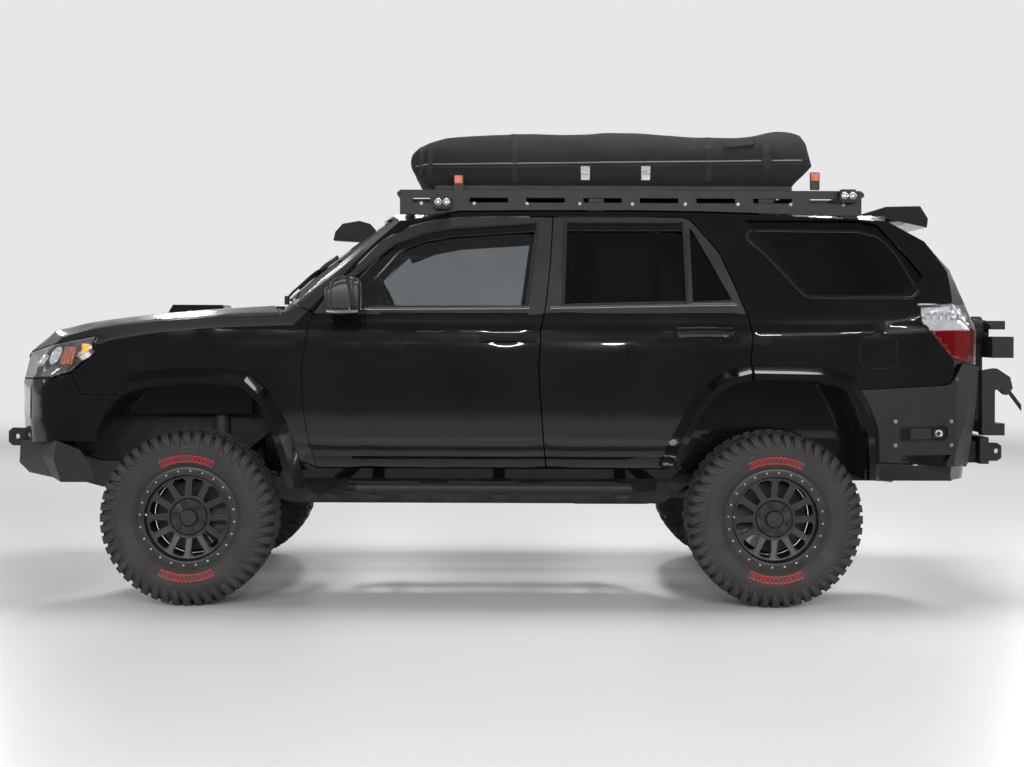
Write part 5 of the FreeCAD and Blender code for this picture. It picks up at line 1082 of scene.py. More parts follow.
def wheel_trim_mesh():
    """Bolts, nuts, cap, bead ring and valve, about the origin with the outer side towards +Y."""
    ring_bolts = ring_of(screw_seed(0.2245, RING_FACE, 0.0058, 0.0050), 24, "ring_bolt", math.radians(4))
    nuts = bmesh.new()
    for ends in (((0.0125, 0.074), (0.01175, 0.094)), ((0.0088, 0.094), (0.0050, 0.0975))):
        add_prism(nuts, *(ring_points(6, radius, y, STUD_CIRCLE) for radius, y in ends))
    outward(nuts)
    lug_nuts = ring_of(nuts, 6, "gloss_trim", math.radians(14))
    ring = bmesh.new()
    bead = [(-0.004, 0.2418), (0.0015, 0.2405), (0.003, 0.2360), (0.003, 0.2135), (0.0015, 0.2085),
            (-0.006, 0.2070)]
    add_lathe(ring, [(RING_FACE + y, radius) for y, radius in bead], 144)
    lip = [(0.0740, 0.1030), (0.0795, 0.1015), (0.0805, 0.0965), (0.0790, 0.0925), (0.0730, 0.0905)]
    add_lathe(ring, lip, 96)
    outward(ring)
    cap = bmesh.new()
    add_lathe(cap, [(0.078, 0.0440), (0.0955, 0.0425), (0.1010, 0.0400), (0.1025, 0.0375), (0.1000, 0.0360),
                    (0.0992, 0.0250), (0.0995, 0.0)], 72)
    outward(cap)
    seed = bmesh.new()
    pocket = [(0.0745, 0.0190), (0.0790, 0.0185), (0.0800, 0.0165), (0.0790, 0.0150), (0.0745, 0.0145)]
    add_lathe(seed, pocket, 20)
    bmesh.ops.translate(seed, verts=seed.verts, vec=(STUD_CIRCLE, 0, 0))
    outward(seed)
    pockets = ring_of(seed, 6, "wheel_black", math.radians(14))
    valve = bmesh.new()
    add_lathe(valve, [(0.060, 0.0045), (0.100, 0.0042), (0.101, 0.0055), (0.112, 0.0052), (0.114, 0.0)], 14)
    bmesh.ops.translate(valve, verts=valve.verts, vec=(-0.196, 0, 0.012))
    outward(valve)
    parts = [
        ring_bolts, lug_nuts, pockets, mesh_of(ring, "ring", "wheel_black"),
        mesh_of(cap, "cap", "wheel_black"), mesh_of(valve, "valve", "raw_steel"),
    ]
    mesh = join_meshes(parts, "wheel_trim")
    smooth_shading(mesh, 35)
    return mesh


def placed(mesh, name, at, mirror):
    """A copy of a mesh made about the origin, mirrored across Y or not, at its place."""
    copy = mesh.copy()
    copy.name = name
    if mirror:
        copy.transform(Matrix.Scale(-1, 4, Vector((0, 1, 0))))
        copy.flip_normals()
    copy.transform(Matrix.Translation(Vector(at)))
    return copy


def bevelled(piece, width, degrees):
    """Breaks the edges that are sharper than an angle."""
    bevel = piece.modifiers.new("edges", "BEVEL")
    bevel.width = width
    bevel.segments = 2
    bevel.limit_method = "ANGLE"
    bevel.angle_limit = math.radians(degrees)
    bevel.harden_normals = False


# Where the brake disc lies in the CAD wheel: out from the wheel's middle, and its radii.
DISC_OUTSIDE = 0.045
DISC_HUB, DISC_RADIUS = 0.075, 0.17
DISC_THICKNESS = 0.026


def rim_piece(place):
    """The CAD wheel with its edges broken, and its disc in bare steel."""
    node = "wheel_" + place
    shape = welded_copy(node)
    x, y = WHEELS[place]
    sign = math.copysign(1, y)
    for face in shape.faces:
        middle = face.calc_center_median()
        out_from_centre = (middle.y - y) * sign
        radius = math.hypot(middle.x - x, middle.z - WHEEL_HEIGHT)
        disc = out_from_centre < DISC_OUTSIDE and DISC_HUB < radius < DISC_RADIUS
        face.material_index = 1 if disc else 0
    mesh = mesh_from(shape, node + "_dressed", 30)
    finishes = ("wheel_black", "brake_disc")
    piece = new_piece(node + "_dressed", mesh, node, finishes, "wheel_black", (node,))
    bevelled(piece, 0.0016, 38)


def make_wheels():
    """The treaded tyre and the trim of each wheel, and the dressed rims."""
    tyre = tyre_mesh()
    trim = wheel_trim_mesh()
    for place, (x, y) in WHEELS.items():
        at = (x, y, WHEEL_HEIGHT)
        left = y < 0
        body = "wheel_" + place
        new_piece(f"tyre_{place}_treaded", placed(tyre, "tyre_" + place, at, left), body, None,
                  "tyre_rubber", ("tyre_" + place,))
        new_piece(f"wheel_trim_{place}", placed(trim, "wheel_trim_" + place, at, left), body, None,
                  "wheel_black")
        rim_piece(place)


# Building pieces one by one
class Builder:
    """Gathers one body's mesh, with a finish for each form."""

    def __init__(self, name, body):
        self.name = name
        self.body = body
        self.shape = bmesh.new()
        self.materials = []

    def index(self, material):
        """The number of a finish in this piece."""
        if material not in self.materials:
            self.materials.append(material)
        return self.materials.index(material)

    def paint(self, faces, material):
        """Gives faces a finish."""
        index = self.index(material)
        for face in faces:
            face.material_index = index

    def prism(self, low, high, material):
        """Joins two outlines."""
        faces = add_prism(self.shape, low, high)
        bmesh.ops.recalc_face_normals(self.shape, faces=faces)
        self.paint(faces, material)

    def block(self, low, high, material, soft=0.003):
        """A box between two corners with its edges rounded."""
        low, high = Vector(map(min, low, high)), Vector(map(max, low, high))
        made = bmesh.ops.create_cube(self.shape, size=1.0)["verts"]
        for v in made:
            v.co = Vector([low[k] if v.co[k] < 0 else high[k] for k in range(3)])
        self.soften(made, soft, material)

    def soften(self, verts, soft, material):
        """Paints the form that these points make and rounds its edges."""
        faces = {face for v in verts for face in v.link_faces}
        self.paint(faces, material)
        if soft:
            edges = {edge for face in faces for edge in face.edges}
            made = bmesh.ops.bevel(
                self.shape, geom=list(edges), offset=soft, segments=2, affect="EDGES", clamp_overlap=True
            )
            faces = {face for face in faces if face.is_valid} | set(made["faces"])
            self.paint(faces, material)
        bmesh.ops.recalc_face_normals(self.shape, faces=list(faces))

    def plate(self, outline, depth, material, soft=0.002):
        """An outline pushed along a vector, with rounded edges."""
        low = [Vector(p) for p in outline]
        high = [p + Vector(depth) for p in low]
        faces = add_prism(self.shape, low, high)
        self.soften({v for face in faces for v in face.verts}, soft, material)

    def tube(self, points, radius, material, sides=12, closed=False):
        """A round tube along points, with its ends shut."""
        self.sweep(points, circle_of(sides, radius), material, closed=closed)

    def sweep(self, points, section, material, up=(0, 0, 1), closed=False):
        """Carries a section along points. Its second axis leans to up, one vector or one for each point."""
        points = [Vector(p) for p in points]
        many = isinstance(up, list)
        rings = []
        count = len(points)
        for k, point in enumerate(points):
            before = points[k - 1] if closed or k else point
            after = points[(k + 1) % count] if closed or k < count - 1 else point
            along = (after - before).normalized()
            lean = Vector(up[k]) if many else Vector(up)
            if abs(along.dot(lean)) > 0.97:
                lean = Vector((1, 0, 0)) if abs(along.x) < 0.9 else Vector((0, 1, 0))
            side = along.cross(lean).normalized()
            rise = side.cross(along).normalized()
            rings.append([self.shape.verts.new(point + side * u + rise * v) for u, v in section])
        faces = []
        pairs = list(zip(rings, rings[1:])) + ([(rings[-1], rings[0])] if closed else [])
        for one, two in pairs:
            for k in range(len(section)):
                after = (k + 1) % len(section)
                faces.append(self.shape.faces.new((one[k], one[after], two[after], two[k])))
        if not closed:
            faces.append(self.shape.faces.new(rings[0]))
            faces.append(self.shape.faces.new(list(reversed(rings[-1]))))
        bmesh.ops.recalc_face_normals(self.shape, faces=faces)
        self.paint(faces, material)

    def strip(self, nodes, line, sign, lift, section, material, pitch=0.05, closed=False):
        """Lays a section along a line of (x, z) on the outer side of some nodes."""
        points, ways = laid(nodes, closed_line(line) if closed else line, sign, lift, pitch)
        if closed:
            points, ways = points[:-1], ways[:-1]
        self.sweep(points, section, material, up=ways, closed=closed)

    def lathe(self, profile, place, axis, material, sides=24):
        """Turns (along, radius) points about an axis through a place."""
        before = set(self.shape.verts)
        faces = add_lathe(self.shape, profile, sides)
        turn = Vector((0, 1, 0)).rotation_difference(Vector(axis)).to_matrix().to_4x4()
        turn.translation = Vector(place)
        new = [v for v in self.shape.verts if v not in before]
        bmesh.ops.transform(self.shape, matrix=turn, verts=new)
        bmesh.ops.recalc_face_normals(self.shape, faces=faces)
        self.paint(faces, material)

    def bolt(self, place, axis, radius, material="raw_steel", height=None):
        """A washer with a hexagon head on it."""
        height = height or radius * 0.8
        washer = [(0, radius * 1.5), (height * 0.25, radius * 1.45), (height * 0.25, 0)]
        self.lathe(washer, place, axis, material, 16)
        spot = Vector(place) + Vector(axis).normalized() * height * 0.2
        head = [(0, radius), (height * 0.8, radius * 0.94), (height, radius * 0.7), (height, 0)]
        self.lathe(head, spot, axis, material, 6)

    def done(self, slot, replaced=(), degrees=32):
        """Links the gathered mesh as one piece that rides on the body."""
        if not self.shape.faces:
            raise RuntimeError(f"{self.name} has no faces")
        mesh = mesh_from(self.shape, self.name, degrees)
        new_piece(self.name, mesh, self.body, self.materials, slot, replaced)


SKIN = {}


def surface(nodes):
    """A tree of the CAD surfaces of some nodes, to lay trim on."""
    key = tuple(nodes)
    if key not in SKIN:
        shape = bmesh.new()
        for node in nodes:
            shape.from_mesh(NODES[node].data)
        SKIN[key] = BVHTree.FromBMesh(shape)
        shape.free()
    return SKIN[key]


def on_side(nodes, x, z, sign, lift=0.0):
    """The point of the nodes' outer side at x and z, lifted off it, and the way out."""
    place, normal, _, _ = surface(nodes).ray_cast(Vector((x, sign * 2.0, z)), Vector((0, -sign, 0)))
    if place is None:
        raise RuntimeError(f"no side of {nodes} at {x:.3f}, {z:.3f}")
    if normal.y * sign < 0:
        normal = -normal
    return place + normal * lift, normal


def dotted(points, pitch):
    """Points no further apart than a pitch along straight runs."""
    out = [Vector(points[0])]
    for one, two in zip(points, points[1:]):
        one, two = Vector(one), Vector(two)
        count = max(1, math.ceil((two - one).length / pitch))
        out += [one.lerp(two, (k + 1) / count) for k in range(count)]
    return out


def laid(nodes, line, sign, lift, pitch=0.05):
    """A line of (x, z) laid on a side: its points and the ways out."""
    flat = dotted([(x, 0, z) for x, z in line], pitch)
    found = [on_side(nodes, p.x, p.z, sign, lift) for p in flat]
    return [p for p, _ in found], [n for _, n in found]


def flat_section(width, height, round_share=0.35):
    """A low strip section with its upper corners taken off."""
    w, c = width / 2, height * round_share
    return [(-w, -height * 0.4), (w, -height * 0.4), (w, height - c), (w - c, height), (-w + c, height),
            (-w, height - c)]


def raise_horns(shape):
    """Bends the frame's front ends up behind the bumper."""
    cut_on_grid(shape, (0, 0, 0), [(0, -2.05 - 0.07 * k) for k in range(6)])
    for v in shape.verts:
        share = clamped((-1.98 - v.co.x) / 0.35)
        v.co.z += 0.075 * share * share * (3 - 2 * share)


def plain(mesh, degrees):
    """Puts a whole mesh in its first finish, shaded smooth up to an angle."""
    for polygon in mesh.polygons:
        polygon.material_index = 0
    smooth_shading(mesh, degrees)


def dress(node, material, width, slot):
    """A CAD node again, with its edges broken so that they catch the light."""
    shape = welded_copy(node)
    if node == "ladder_frame":
        raise_horns(shape)
    mesh = mesh_from(shape, node + "_dressed")
    plain(mesh, 30)
    piece = new_piece(node + "_dressed", mesh, BODY_OF[node], (material,), slot, (node,))
    if width:
        bevelled(piece, width, 30)


DRESSED = {
    "front_bumper": ("satin_black", 0.004), "rear_bumper": ("satin_black", 0.004),
    "hitch_receiver": ("satin_black", 0.003), "side_steps": ("satin_black", 0.003),
    "roof_rack": ("satin_black", 0.002), "carrier": ("satin_black", 0.004),
    "snorkel": ("black_plastic", 0.006), "ladder_frame": ("frame_paint", 0.004),
    "exhaust": ("raw_steel", 0.0), "fuel_tank": ("black_plastic", 0.015),
    "engine_block": ("cast_metal", 0.008), "driveline": ("cast_metal", 0.0),
    "rear_axle": ("frame_paint", 0.0), "front_suspension": ("frame_paint", 0.0),
    "steering_rack": ("aluminium_parts", 0.002), "tie_rods": ("raw_steel", 0.0),
    "knuckle_left": ("cast_metal", 0.003), "knuckle_right": ("cast_metal", 0.003),
    "dashboard": ("black_plastic", 0.012), "grille": ("gloss_trim", 0.002),
}


def make_dressed():
    """Dresses the CAD nodes that only need their edges broken."""
    for node, (material, width) in DRESSED.items():
        dress(node, material, width, NODE_FINISHES[node])


WHEELBASE = 2.79
OUTLINE_HEIGHT = 1.9


def x_of(share):
    """Metres along for a share of the wheelbase behind the front axle."""
    return FRONT_AXLE + share * WHEELBASE


def z_of(share):
    """Metres up for a share of the outline's height."""
    return share * OUTLINE_HEIGHT


FRONT_WINDOW = [(0.287, 0.751), (0.277, 0.821), (0.346, 0.909), (0.397, 0.937), (0.448, 0.951),
                (0.593, 0.965), (0.574, 0.753)]
REAR_WINDOW = [(0.641, 0.757), (0.648, 0.967), (0.850, 0.968), (0.850, 0.765)]


def inset(outline, by):
    """A convex-ish outline of (x, z) moved outwards by a distance, or inwards if negative."""
    area = sum(a[0] * b[1] - b[0] * a[1] for a, b in zip(outline, outline[1:] + outline[:1]))
    turn = 1 if area > 0 else -1
    moved = []
    count = len(outline)
    for k in range(count):
        before, here, after = (Vector(outline[k - 1]), Vector(outline[k]), Vector(outline[(k + 1) % count]))
        a = (here - before).normalized()
        b = (after - here).normalized()
        na = Vector((a.y, -a.x)) * turn
        nb = Vector((b.y, -b.x)) * turn
        middle = (na + nb).normalized()
        moved.append(tuple(here + middle * by / max(0.4, middle.dot(na))))
    return moved


def closed_line(outline):
    """An outline with its first point again at the end."""
    return outline + outline[:1]


def soft_box(count, middle, half, powers):
    """Points of (x, z) round an outline between an ellipse and a rectangle."""
    return [
        (middle[0] + half[0] * math.copysign(abs(u) ** powers[0], u),
         middle[1] + half[1] * math.copysign(abs(v) ** powers[1], v))
        for u, v in circle_of(count)
    ]


HANDLES = {"front": (-0.160, 0.116, 1.262), "rear": (0.790, 1.052, 1.282)}
BELTS = {"front": [(-0.755, 1.4125), (0.090, 1.4205)], "rear": [(0.190, 1.4215), (1.085, 1.4400)]}


def add_handle(build, door, sign, x0, x1, z):
    """A door's grip over its recess, with the lock."""
    side = Vector((0, sign, 0))
    middle = (x0 + x1) / 2
    base = on_side((door,), middle, z + 0.055, sign)[0].y * sign
    bowl = soft_box(28, (middle, z), ((x1 - x0) / 2, 0.047), (0.62, 0.8))
    ring = [Vector((x, sign * (base + 0.0005), height)) for x, height in bowl]
    build.sweep(ring, flat_section(0.007, 0.004), "gloss_trim", up=[side] * len(ring), closed=True)
    bottom = sign * (base - 0.004)
    inner = [Vector((middle + (p.x - middle) * 0.97, bottom, z + (p.z - z) * 0.93)) for p in ring]
    build.plate(inner, (0, sign * 0.005, 0), "black_plastic", 0.0)
    grip = []
    for k in range(15):
        t = k / 14
        x = x0 + 0.012 + (x1 - x0 - 0.024) * t
        bulge = math.sin(math.pi * t) ** 0.55
        grip.append(Vector((x, sign * (base + 0.006 + 0.026 * bulge), z + 0.012 + 0.006 * bulge)))
    section = [(0.016 * u, 0.0075 * v) for u, v in circle_of(16)]
    build.sweep(grip, section, "gloss_trim", up=[side] * len(grip))
    lock = [(0, 0.013), (0.004, 0.0125), (0.006, 0.0105), (0.006, 0.0)]
    build.lathe(lock, (x1 - 0.030, sign * (base + 0.0305), z + 0.014), (0, sign, 0), "bright_metal_and_painted_reflection", 20)


def add_mirror_trim(build, sign, low, high):
    """A mirror's glass and the bright strip under its head, between the head's corners."""
    back = high.x + 0.0005
    glass = [(back, low.y + 0.022, low.z + 0.026), (back, high.y - 0.020, low.z + 0.020),
             (back, high.y - 0.024, high.z - 0.028), (back, low.y + 0.028, high.z - 0.030)]
    build.plate(glass, (0.0022, 0, 0), "chrome", 0.0006)
    far = max(abs(low.y), abs(high.y))
    strip = [(high.x - 0.010, sign * (far - 0.008), low.z + 0.018),
             (low.x + 0.05, sign * (far - 0.010), low.z + 0.014),
             (low.x + 0.012, sign * (far - 0.050), low.z + 0.018)]
    build.sweep(strip, flat_section(0.013, 0.004), "bright_metal_and_painted_reflection", up=(0, sign, 0))


def make_door_trim():
    """Belt strips, deflectors, seals, handles and mirrors of the doors."""
    for side, sign in SIDES.items():
        for end, outline in (("front", FRONT_WINDOW), ("rear", REAR_WINDOW)):
            door = f"door_{end}_{side}"
            nodes = (door, f"glass_{end}_{side}")
            build = Builder(f"trim_{end}_{side}", door)
            metres = [(x_of(x), z_of(z)) for x, z in outline]
            # The belt strip is painted as bright metal: a painted reflection along the top of the black belt
            # trim.
            build.strip(nodes, BELTS[end], sign, 0.0015, flat_section(0.0135, 0.0060), "bright_metal_and_painted_reflection")
            build.strip(nodes, inset(metres, 0.006), sign, 0.0005, flat_section(0.015, 0.006),
                        "black_plastic", 0.04, True)
            top = [(x, z - 0.018) for x, z in sorted(p for p in metres if p[1] > 1.58)]
            build.strip(nodes, top, sign, 0.004, flat_section(0.052, 0.0045), "smoked_plastic")
            add_handle(build, door, sign, *HANDLES[end])
            if end == "front":
                add_mirror_trim(build, sign, *mirror_box(door, sign))
            build.done("body_paint")


def mirror_box(door, sign):
    """The corners of the mirror head, from the door's points that stand out furthest."""
    points = [v.co for v in NODES[door].data.vertices if v.co.y * sign > 0.968]
    if not points:
        raise RuntimeError(f"{door} has no mirror")
    low = Vector([min(p[k] for p in points) for k in range(3)])
    high = Vector([max(p[k] for p in points) for k in range(3)])
    return low, high


# Lamps
def outer_skin(node, sign, outward_of):
    """The outer faces of one side's lamp as a new mesh, with smooth facets."""
    shape = welded_copy(node)
    far = [v for v in shape.verts if v.co.y * sign < 0]
    bmesh.ops.delete(shape, geom=far, context="VERTS")
    bmesh.ops.triangulate(shape, faces=shape.faces[:])
    shape.normal_update()
    turned = [face for face in shape.faces if not face.normal.dot(outward_of) > 0.25]
    bmesh.ops.delete(shape, geom=turned, context="FACES")
    loose = [v for v in shape.verts if not v.link_faces]
    bmesh.ops.delete(shape, geom=loose, context="VERTS")
    cut_on_grid(shape, (0.03, 0.03, 0.03))
    relax(shape, 6, 30.0, 0.004)
    shape.normal_update()
    return shape


def sunk(shape, by):
    """A copy of a skin moved inwards along its points' normals."""
    copy = shape.copy()
    copy.normal_update()
    shifts = [v.normal * -by for v in copy.verts]
    for v, shift in zip(copy.verts, shifts):
        v.co += shift
    return copy


def skin_piece(name, shape, thick, materials, slot, pick=None):
    """A skin given a thickness inwards."""
    for face in shape.faces:
        face.material_index = pick(face) if pick else 0
    piece = new_piece(name, mesh_from(shape, name, 30), "chassis", materials, slot)
    wall = piece.modifiers.new("wall", "SOLIDIFY")
    wall.thickness = thick
    wall.offset = -1.0


def rim_walls(builder, skin, depth, material, thick):
    """Walls that go in from the skin's border, as a lamp's bezel."""
    border = [edge for edge in skin.edges if len(edge.link_faces) == 1]
    for edge in border:
        a, b = edge.verts
        inward_a, inward_b = a.normal * -depth, b.normal * -depth
        low = [a.co.copy(), b.co.copy(), b.co + inward_b, a.co + inward_a]
        face = edge.link_faces[0]
        aside = face.calc_center_median() - (a.co + b.co) / 2
        aside = (aside - aside.dot(face.normal) * face.normal).normalized() * thick
        builder.prism(low, [p + aside for p in low], material)


def on_skin(tree, x, z, sign):
    """The point of a lamp's skin seen from the side, with its outward normal, or two Nones."""
    place, normal, _, _ = tree.ray_cast(Vector((x, sign * 2.0, z)), Vector((0, -sign, 0)))
    if place is not None and normal.y * sign < 0:
        normal = -normal
    return place, normal


HEADLAMP_BOWLS = (
    ((-2.040, 1.222), 0.044, "lit_amber", 0.026), ((-2.215, 1.190), 0.046, "chrome", 0.024),
    ((-2.300, 1.176), 0.040, "chrome", 0.020),
)


def make_headlamps():
    """Clear covers over dark housings with two bowls, a lit amber unit and a light guide."""
    for side, sign in SIDES.items():
        skin = outer_skin("headlamps", sign, Vector((-0.62, sign * 0.72, 0.30)).normalized())
        tree = BVHTree.FromBMesh(skin)
        back = sunk(skin, 0.040)
        bezel = Builder(f"headlamp_inside_{side}", "chassis")
        rim_walls(bezel, skin, 0.038, "gloss_trim", 0.004)
        for (x, z), radius, material, sink in HEADLAMP_BOWLS:
            place, normal = on_skin(tree, x, z, sign)
            if place is None:
                continue
            axis = (normal + Vector((-0.25, 0, 0))).normalized()
            seat = place - normal * 0.012
            dish = [(-sink, 0.0), (-sink * 0.92, radius * 0.35), (-sink * 0.6, radius * 0.7), (0.0, radius),
                    (-0.002, radius * 1.08), (-sink, radius * 1.08)]
            bezel.lathe(dish, seat, axis, "chrome", 36)
            bulb = [(-sink * 0.9, 0.0), (-sink * 0.35, 0.0), (-sink * 0.40, radius * 0.30),
                    (-sink * 0.6, radius * 0.42), (-sink * 0.9, radius * 0.44)]
            bezel.lathe(bulb, seat, axis, material, 24)
            if material == "lit_amber":
                for k in range(-3, 4):
                    rise = Vector((0, 0, 0.0095 * k))
                    start = seat + rise - axis * sink * 0.15
                    along = axis.cross(Vector((0, 0, 1))).normalized()
                    bezel.tube([start - along * 0.036, start + along * 0.036], 0.0042, "lit_amber", 8)
        for k in range(4):
            x = -2.160 + 0.017 * k
            low, _ = on_skin(tree, x, 1.140, sign)
            high, _ = on_skin(tree, x + 0.010, 1.222, sign)
            if low is None or high is None:
                continue
            inward = Vector((0, -sign * 0.020, 0))
            bezel.tube([low + inward, high + inward], 0.0078, "amber_reflector", 10)
        bezel.done("lamp_clear", ("headlamps",) if side == "left" else ())
        skin_piece(f"headlamp_back_{side}", back, 0.004, ("gloss_trim",), "black_plastic")
        skin_piece(f"headlamp_cover_{side}", skin, 0.0025, ("lamp_clear",), "lamp_clear")


def make_tail_lamps():
    """Clear upper and red lower lenses over a ribbed reflector, in a dark border."""
    for side, sign in SIDES.items():
        skin = outer_skin("tail_lamps", sign, Vector((0.55, sign * 0.80, 0.20)).normalized())
        back = sunk(skin, 0.026)
        inside = Builder(f"tail_lamp_inside_{side}", "chassis")
        rim_walls(inside, skin, 0.026, "gloss_trim", 0.006)
        tree = BVHTree.FromBMesh(skin)
        dish = [(-0.014, 0.0), (-0.0135, 0.004), (-0.002, 0.0155), (-0.004, 0.0170), (-0.016, 0.0165)]
        for k in range(7):
            place, normal = on_skin(tree, 2.000 + 0.036 * k, 1.388, sign)
            if place is not None:
                inside.lathe(dish, place - normal * 0.008, normal, "chrome", 18)
        inside.done("lamp_red", ("tail_lamps",) if side == "left" else ())
        reflectors, lenses = ("lamp_reflector", "red_reflector"), ("lamp_clear", "lamp_red")
        skin_piece(f"tail_lamp_back_{side}", back, 0.003, reflectors, "lamp_red", lower_lens)
        skin_piece(f"tail_lamp_cover_{side}", skin, 0.0025, lenses, "lamp_red", lower_lens)


def lower_lens(face):
    """0 for the clear part of the tail lamp, above a slanting line, and 1 for the red part."""
    middle = face.calc_center_median()
    return 0 if middle.z > 1.322 + 0.02 * (middle.x - 2.1) else 1


# Glass and front
def make_glass_trim():
    """Black borders of the rear quarter glass, two wipers and a wire down the pillar."""
    build = Builder("glass_trim", "chassis")
    quarter = [(1.150, 1.770), (1.235, 1.690), (1.405, 1.495), (1.440, 1.475), (1.930, 1.475),
               (1.965, 1.505), (1.870, 1.690), (1.800, 1.775), (1.700, 1.800), (1.165, 1.805)]
    for sign in SIDES.values():
        build.strip(("body_shell", "fixed_glass"), quarter, sign, 0.0005, flat_section(0.014, 0.004),
                    "gloss_trim", closed=True)
    tree = surface(("fixed_glass",))
    arm_section = [(-0.006, -0.003), (0.006, -0.003), (0.004, 0.005), (-0.004, 0.005)]
    blade_section = [(-0.0035, -0.010), (0.0035, -0.010), (0.006, 0.004), (-0.006, 0.004)]
    pivot = [(-0.03, 0.013), (0.010, 0.013), (0.014, 0.009), (0.014, 0)]
    for start, end in (((-1.075, 0.10), (-0.86, -0.46)), ((-1.105, -0.52), (-0.93, 0.02))):
        arm = []
        for k in range(9):
            t = k / 8
            x = start[0] + (end[0] - start[0]) * t
            y = start[1] + (end[1] - start[1]) * t
            place = tree.ray_cast(Vector((x, y, 2.4)), Vector((0, 0, -1)))[0]
            if place is None:
                place = Vector((x, y, 1.45))
            arm.append(place + Vector((-0.010, 0, 0.016)))
        build.sweep(arm, arm_section, "satin_black")
        build.sweep([p + Vector((0.002, 0, -0.006)) for p in arm[2:]], blade_section, "black_plastic")
        build.lathe(pivot, arm[0], (0, 0, 1), "satin_black", 16)
    wire = [Vector(p) for p in (
        (-0.805, 0.800, 1.735), (-0.850, 0.815, 1.690), (-0.895, 0.822, 1.630),
        (-0.930, 0.825, 1.560), (-0.980, 0.828, 1.500), (-1.020, 0.830, 1.462),
    )]
    build.tube(wire, 0.0035, "black_plastic", 8)
    build.done("black_plastic")


def make_front_details():
    """Mesh behind the grille bars and a bright bar, inner aprons and the bumper's round lamps."""
    build = Builder("front_details", "chassis")
    for k in range(-11, 12):
        y = 0.038 * k
        for lean in (0.035, -0.035):
            build.tube([(-2.385, y - lean, 0.905), (-2.372, y + lean, 1.135)], 0.0028, "black_plastic", 5)
    build.block((-2.368, -0.455, 0.895), (-2.362, 0.455, 1.150), "black_plastic", 0.001)
    bar = [(-2.440, -0.36, 1.175), (-2.448, 0.0, 1.177), (-2.440, 0.36, 1.175)]
    build.sweep(bar, flat_section(0.024, 0.006), "chrome", up=(-1, 0, 0.25))
    for sign in SIDES.values():
        apron = [(-2.26, 0.700), (-2.26, 1.080), (-1.12, 1.080), (-1.12, 0.860), (-1.30, 0.720)]
        build.plate([(x, sign * 0.500, z) for x, z in apron], (0, -sign * 0.003, 0), "black_plastic", 0.0)
    for y in (-0.30, 0.30):
        border = [(-0.03, 0.050), (0.004, 0.052), (0.010, 0.048), (0.006, 0.044), (-0.020, 0.0)]
        build.lathe(border, (-2.405, y, 0.700), (-1, 0, 0), "black_plastic", 28)
        dish = [(-0.012, 0.0), (-0.010, 0.020), (0.0, 0.040), (-0.004, 0.043)]
        build.lathe(dish, (-2.400, y, 0.700), (-1, 0, 0), "chrome", 28)
    build.done("black_plastic")


def make_body_details():
    """The fuel door's line, on the left, and the lamp of the rear spoiler."""
    build = Builder("body_details", "chassis")
    ring = soft_box(32, (1.757, 1.214), (0.090, 0.079), (0.5, 0.5))
    found = [on_side(("body_shell",), x, z, SIDES["left"], 0.0006) for x, z in ring]
    line = [(-0.0017, -0.001), (0.0017, -0.001), (0.0012, 0.0016), (-0.0012, 0.0016)]
    build.sweep([p for p, _ in found], line, "black_plastic", up=[n for _, n in found], closed=True)
    lamp = [(2.075, -0.20, 1.912), (2.082, 0.0, 1.914), (2.075, 0.20, 1.912)]
    build.sweep(lamp, flat_section(0.016, 0.006), "red_reflector", up=(1, 0, 0.1))
    build.done("body_paint")


# Fabric and padding
def remeshed(node, voxel, rounds):
    """A CAD solid as an even closed skin with its edges rounded, for cloth and padding."""
    shape = welded_copy(node)
    holder = linked(node + "_start", mesh_from(shape, node + "_start"))
    even = holder.modifiers.new("even", "REMESH")
    even.mode = "VOXEL"
    even.voxel_size = voxel
    smooth = holder.modifiers.new("smooth", "SMOOTH")
    smooth.iterations = rounds
    smooth.factor = 0.5
    bpy.context.view_layer.update()
    even = holder.evaluated_get(bpy.context.evaluated_depsgraph_get())
    result = bpy.data.meshes.new_from_object(even)
    bpy.data.objects.remove(holder)
    return result


CLOTH_STIFFNESS = 18.0
CLOTH_FRAMES = 20
TENT_PRESSURE, TENT_SWELL = 4.0, 0.012
SEAT_PRESSURE, SEAT_SWELL = 3.0, 0.008
PLEAT_PITCH = 0.075


def inflated(mesh, pressure, most):
    """Blows a closed skin up as cloth for some frames, no point moving further than a limit."""
    scene = bpy.context.scene
    holder = linked("inflated", mesh)
    cloth = holder.modifiers.new("cloth", "CLOTH")
    settings = cloth.settings
    settings.quality = 4
    settings.use_pressure = True
    settings.uniform_pressure_force = pressure
    settings.effector_weights.gravity = 0.0
    settings.tension_stiffness = CLOTH_STIFFNESS
    settings.compression_stiffness = CLOTH_STIFFNESS
    settings.shear_stiffness = CLOTH_STIFFNESS * 0.5
    settings.bending_stiffness = 0.6
    settings.air_damping = 2.0
    cloth.collision_settings.use_collision = False
    cloth.point_cache.frame_start = 1
    cloth.point_cache.frame_end = CLOTH_FRAMES
    for number in range(1, CLOTH_FRAMES + 1):
        scene.frame_set(number)
    after = holder.evaluated_get(bpy.context.evaluated_depsgraph_get()).to_mesh()
    moved = [v.co.copy() for v in after.vertices]
    scene.frame_set(1)
    holder.modifiers.clear()
    for v, place in zip(mesh.vertices, moved):
        shift = place - v.co
        if shift.length > most:
            shift = shift.normalized() * most
        v.co = v.co + shift
    bpy.data.objects.remove(holder)
    return mesh


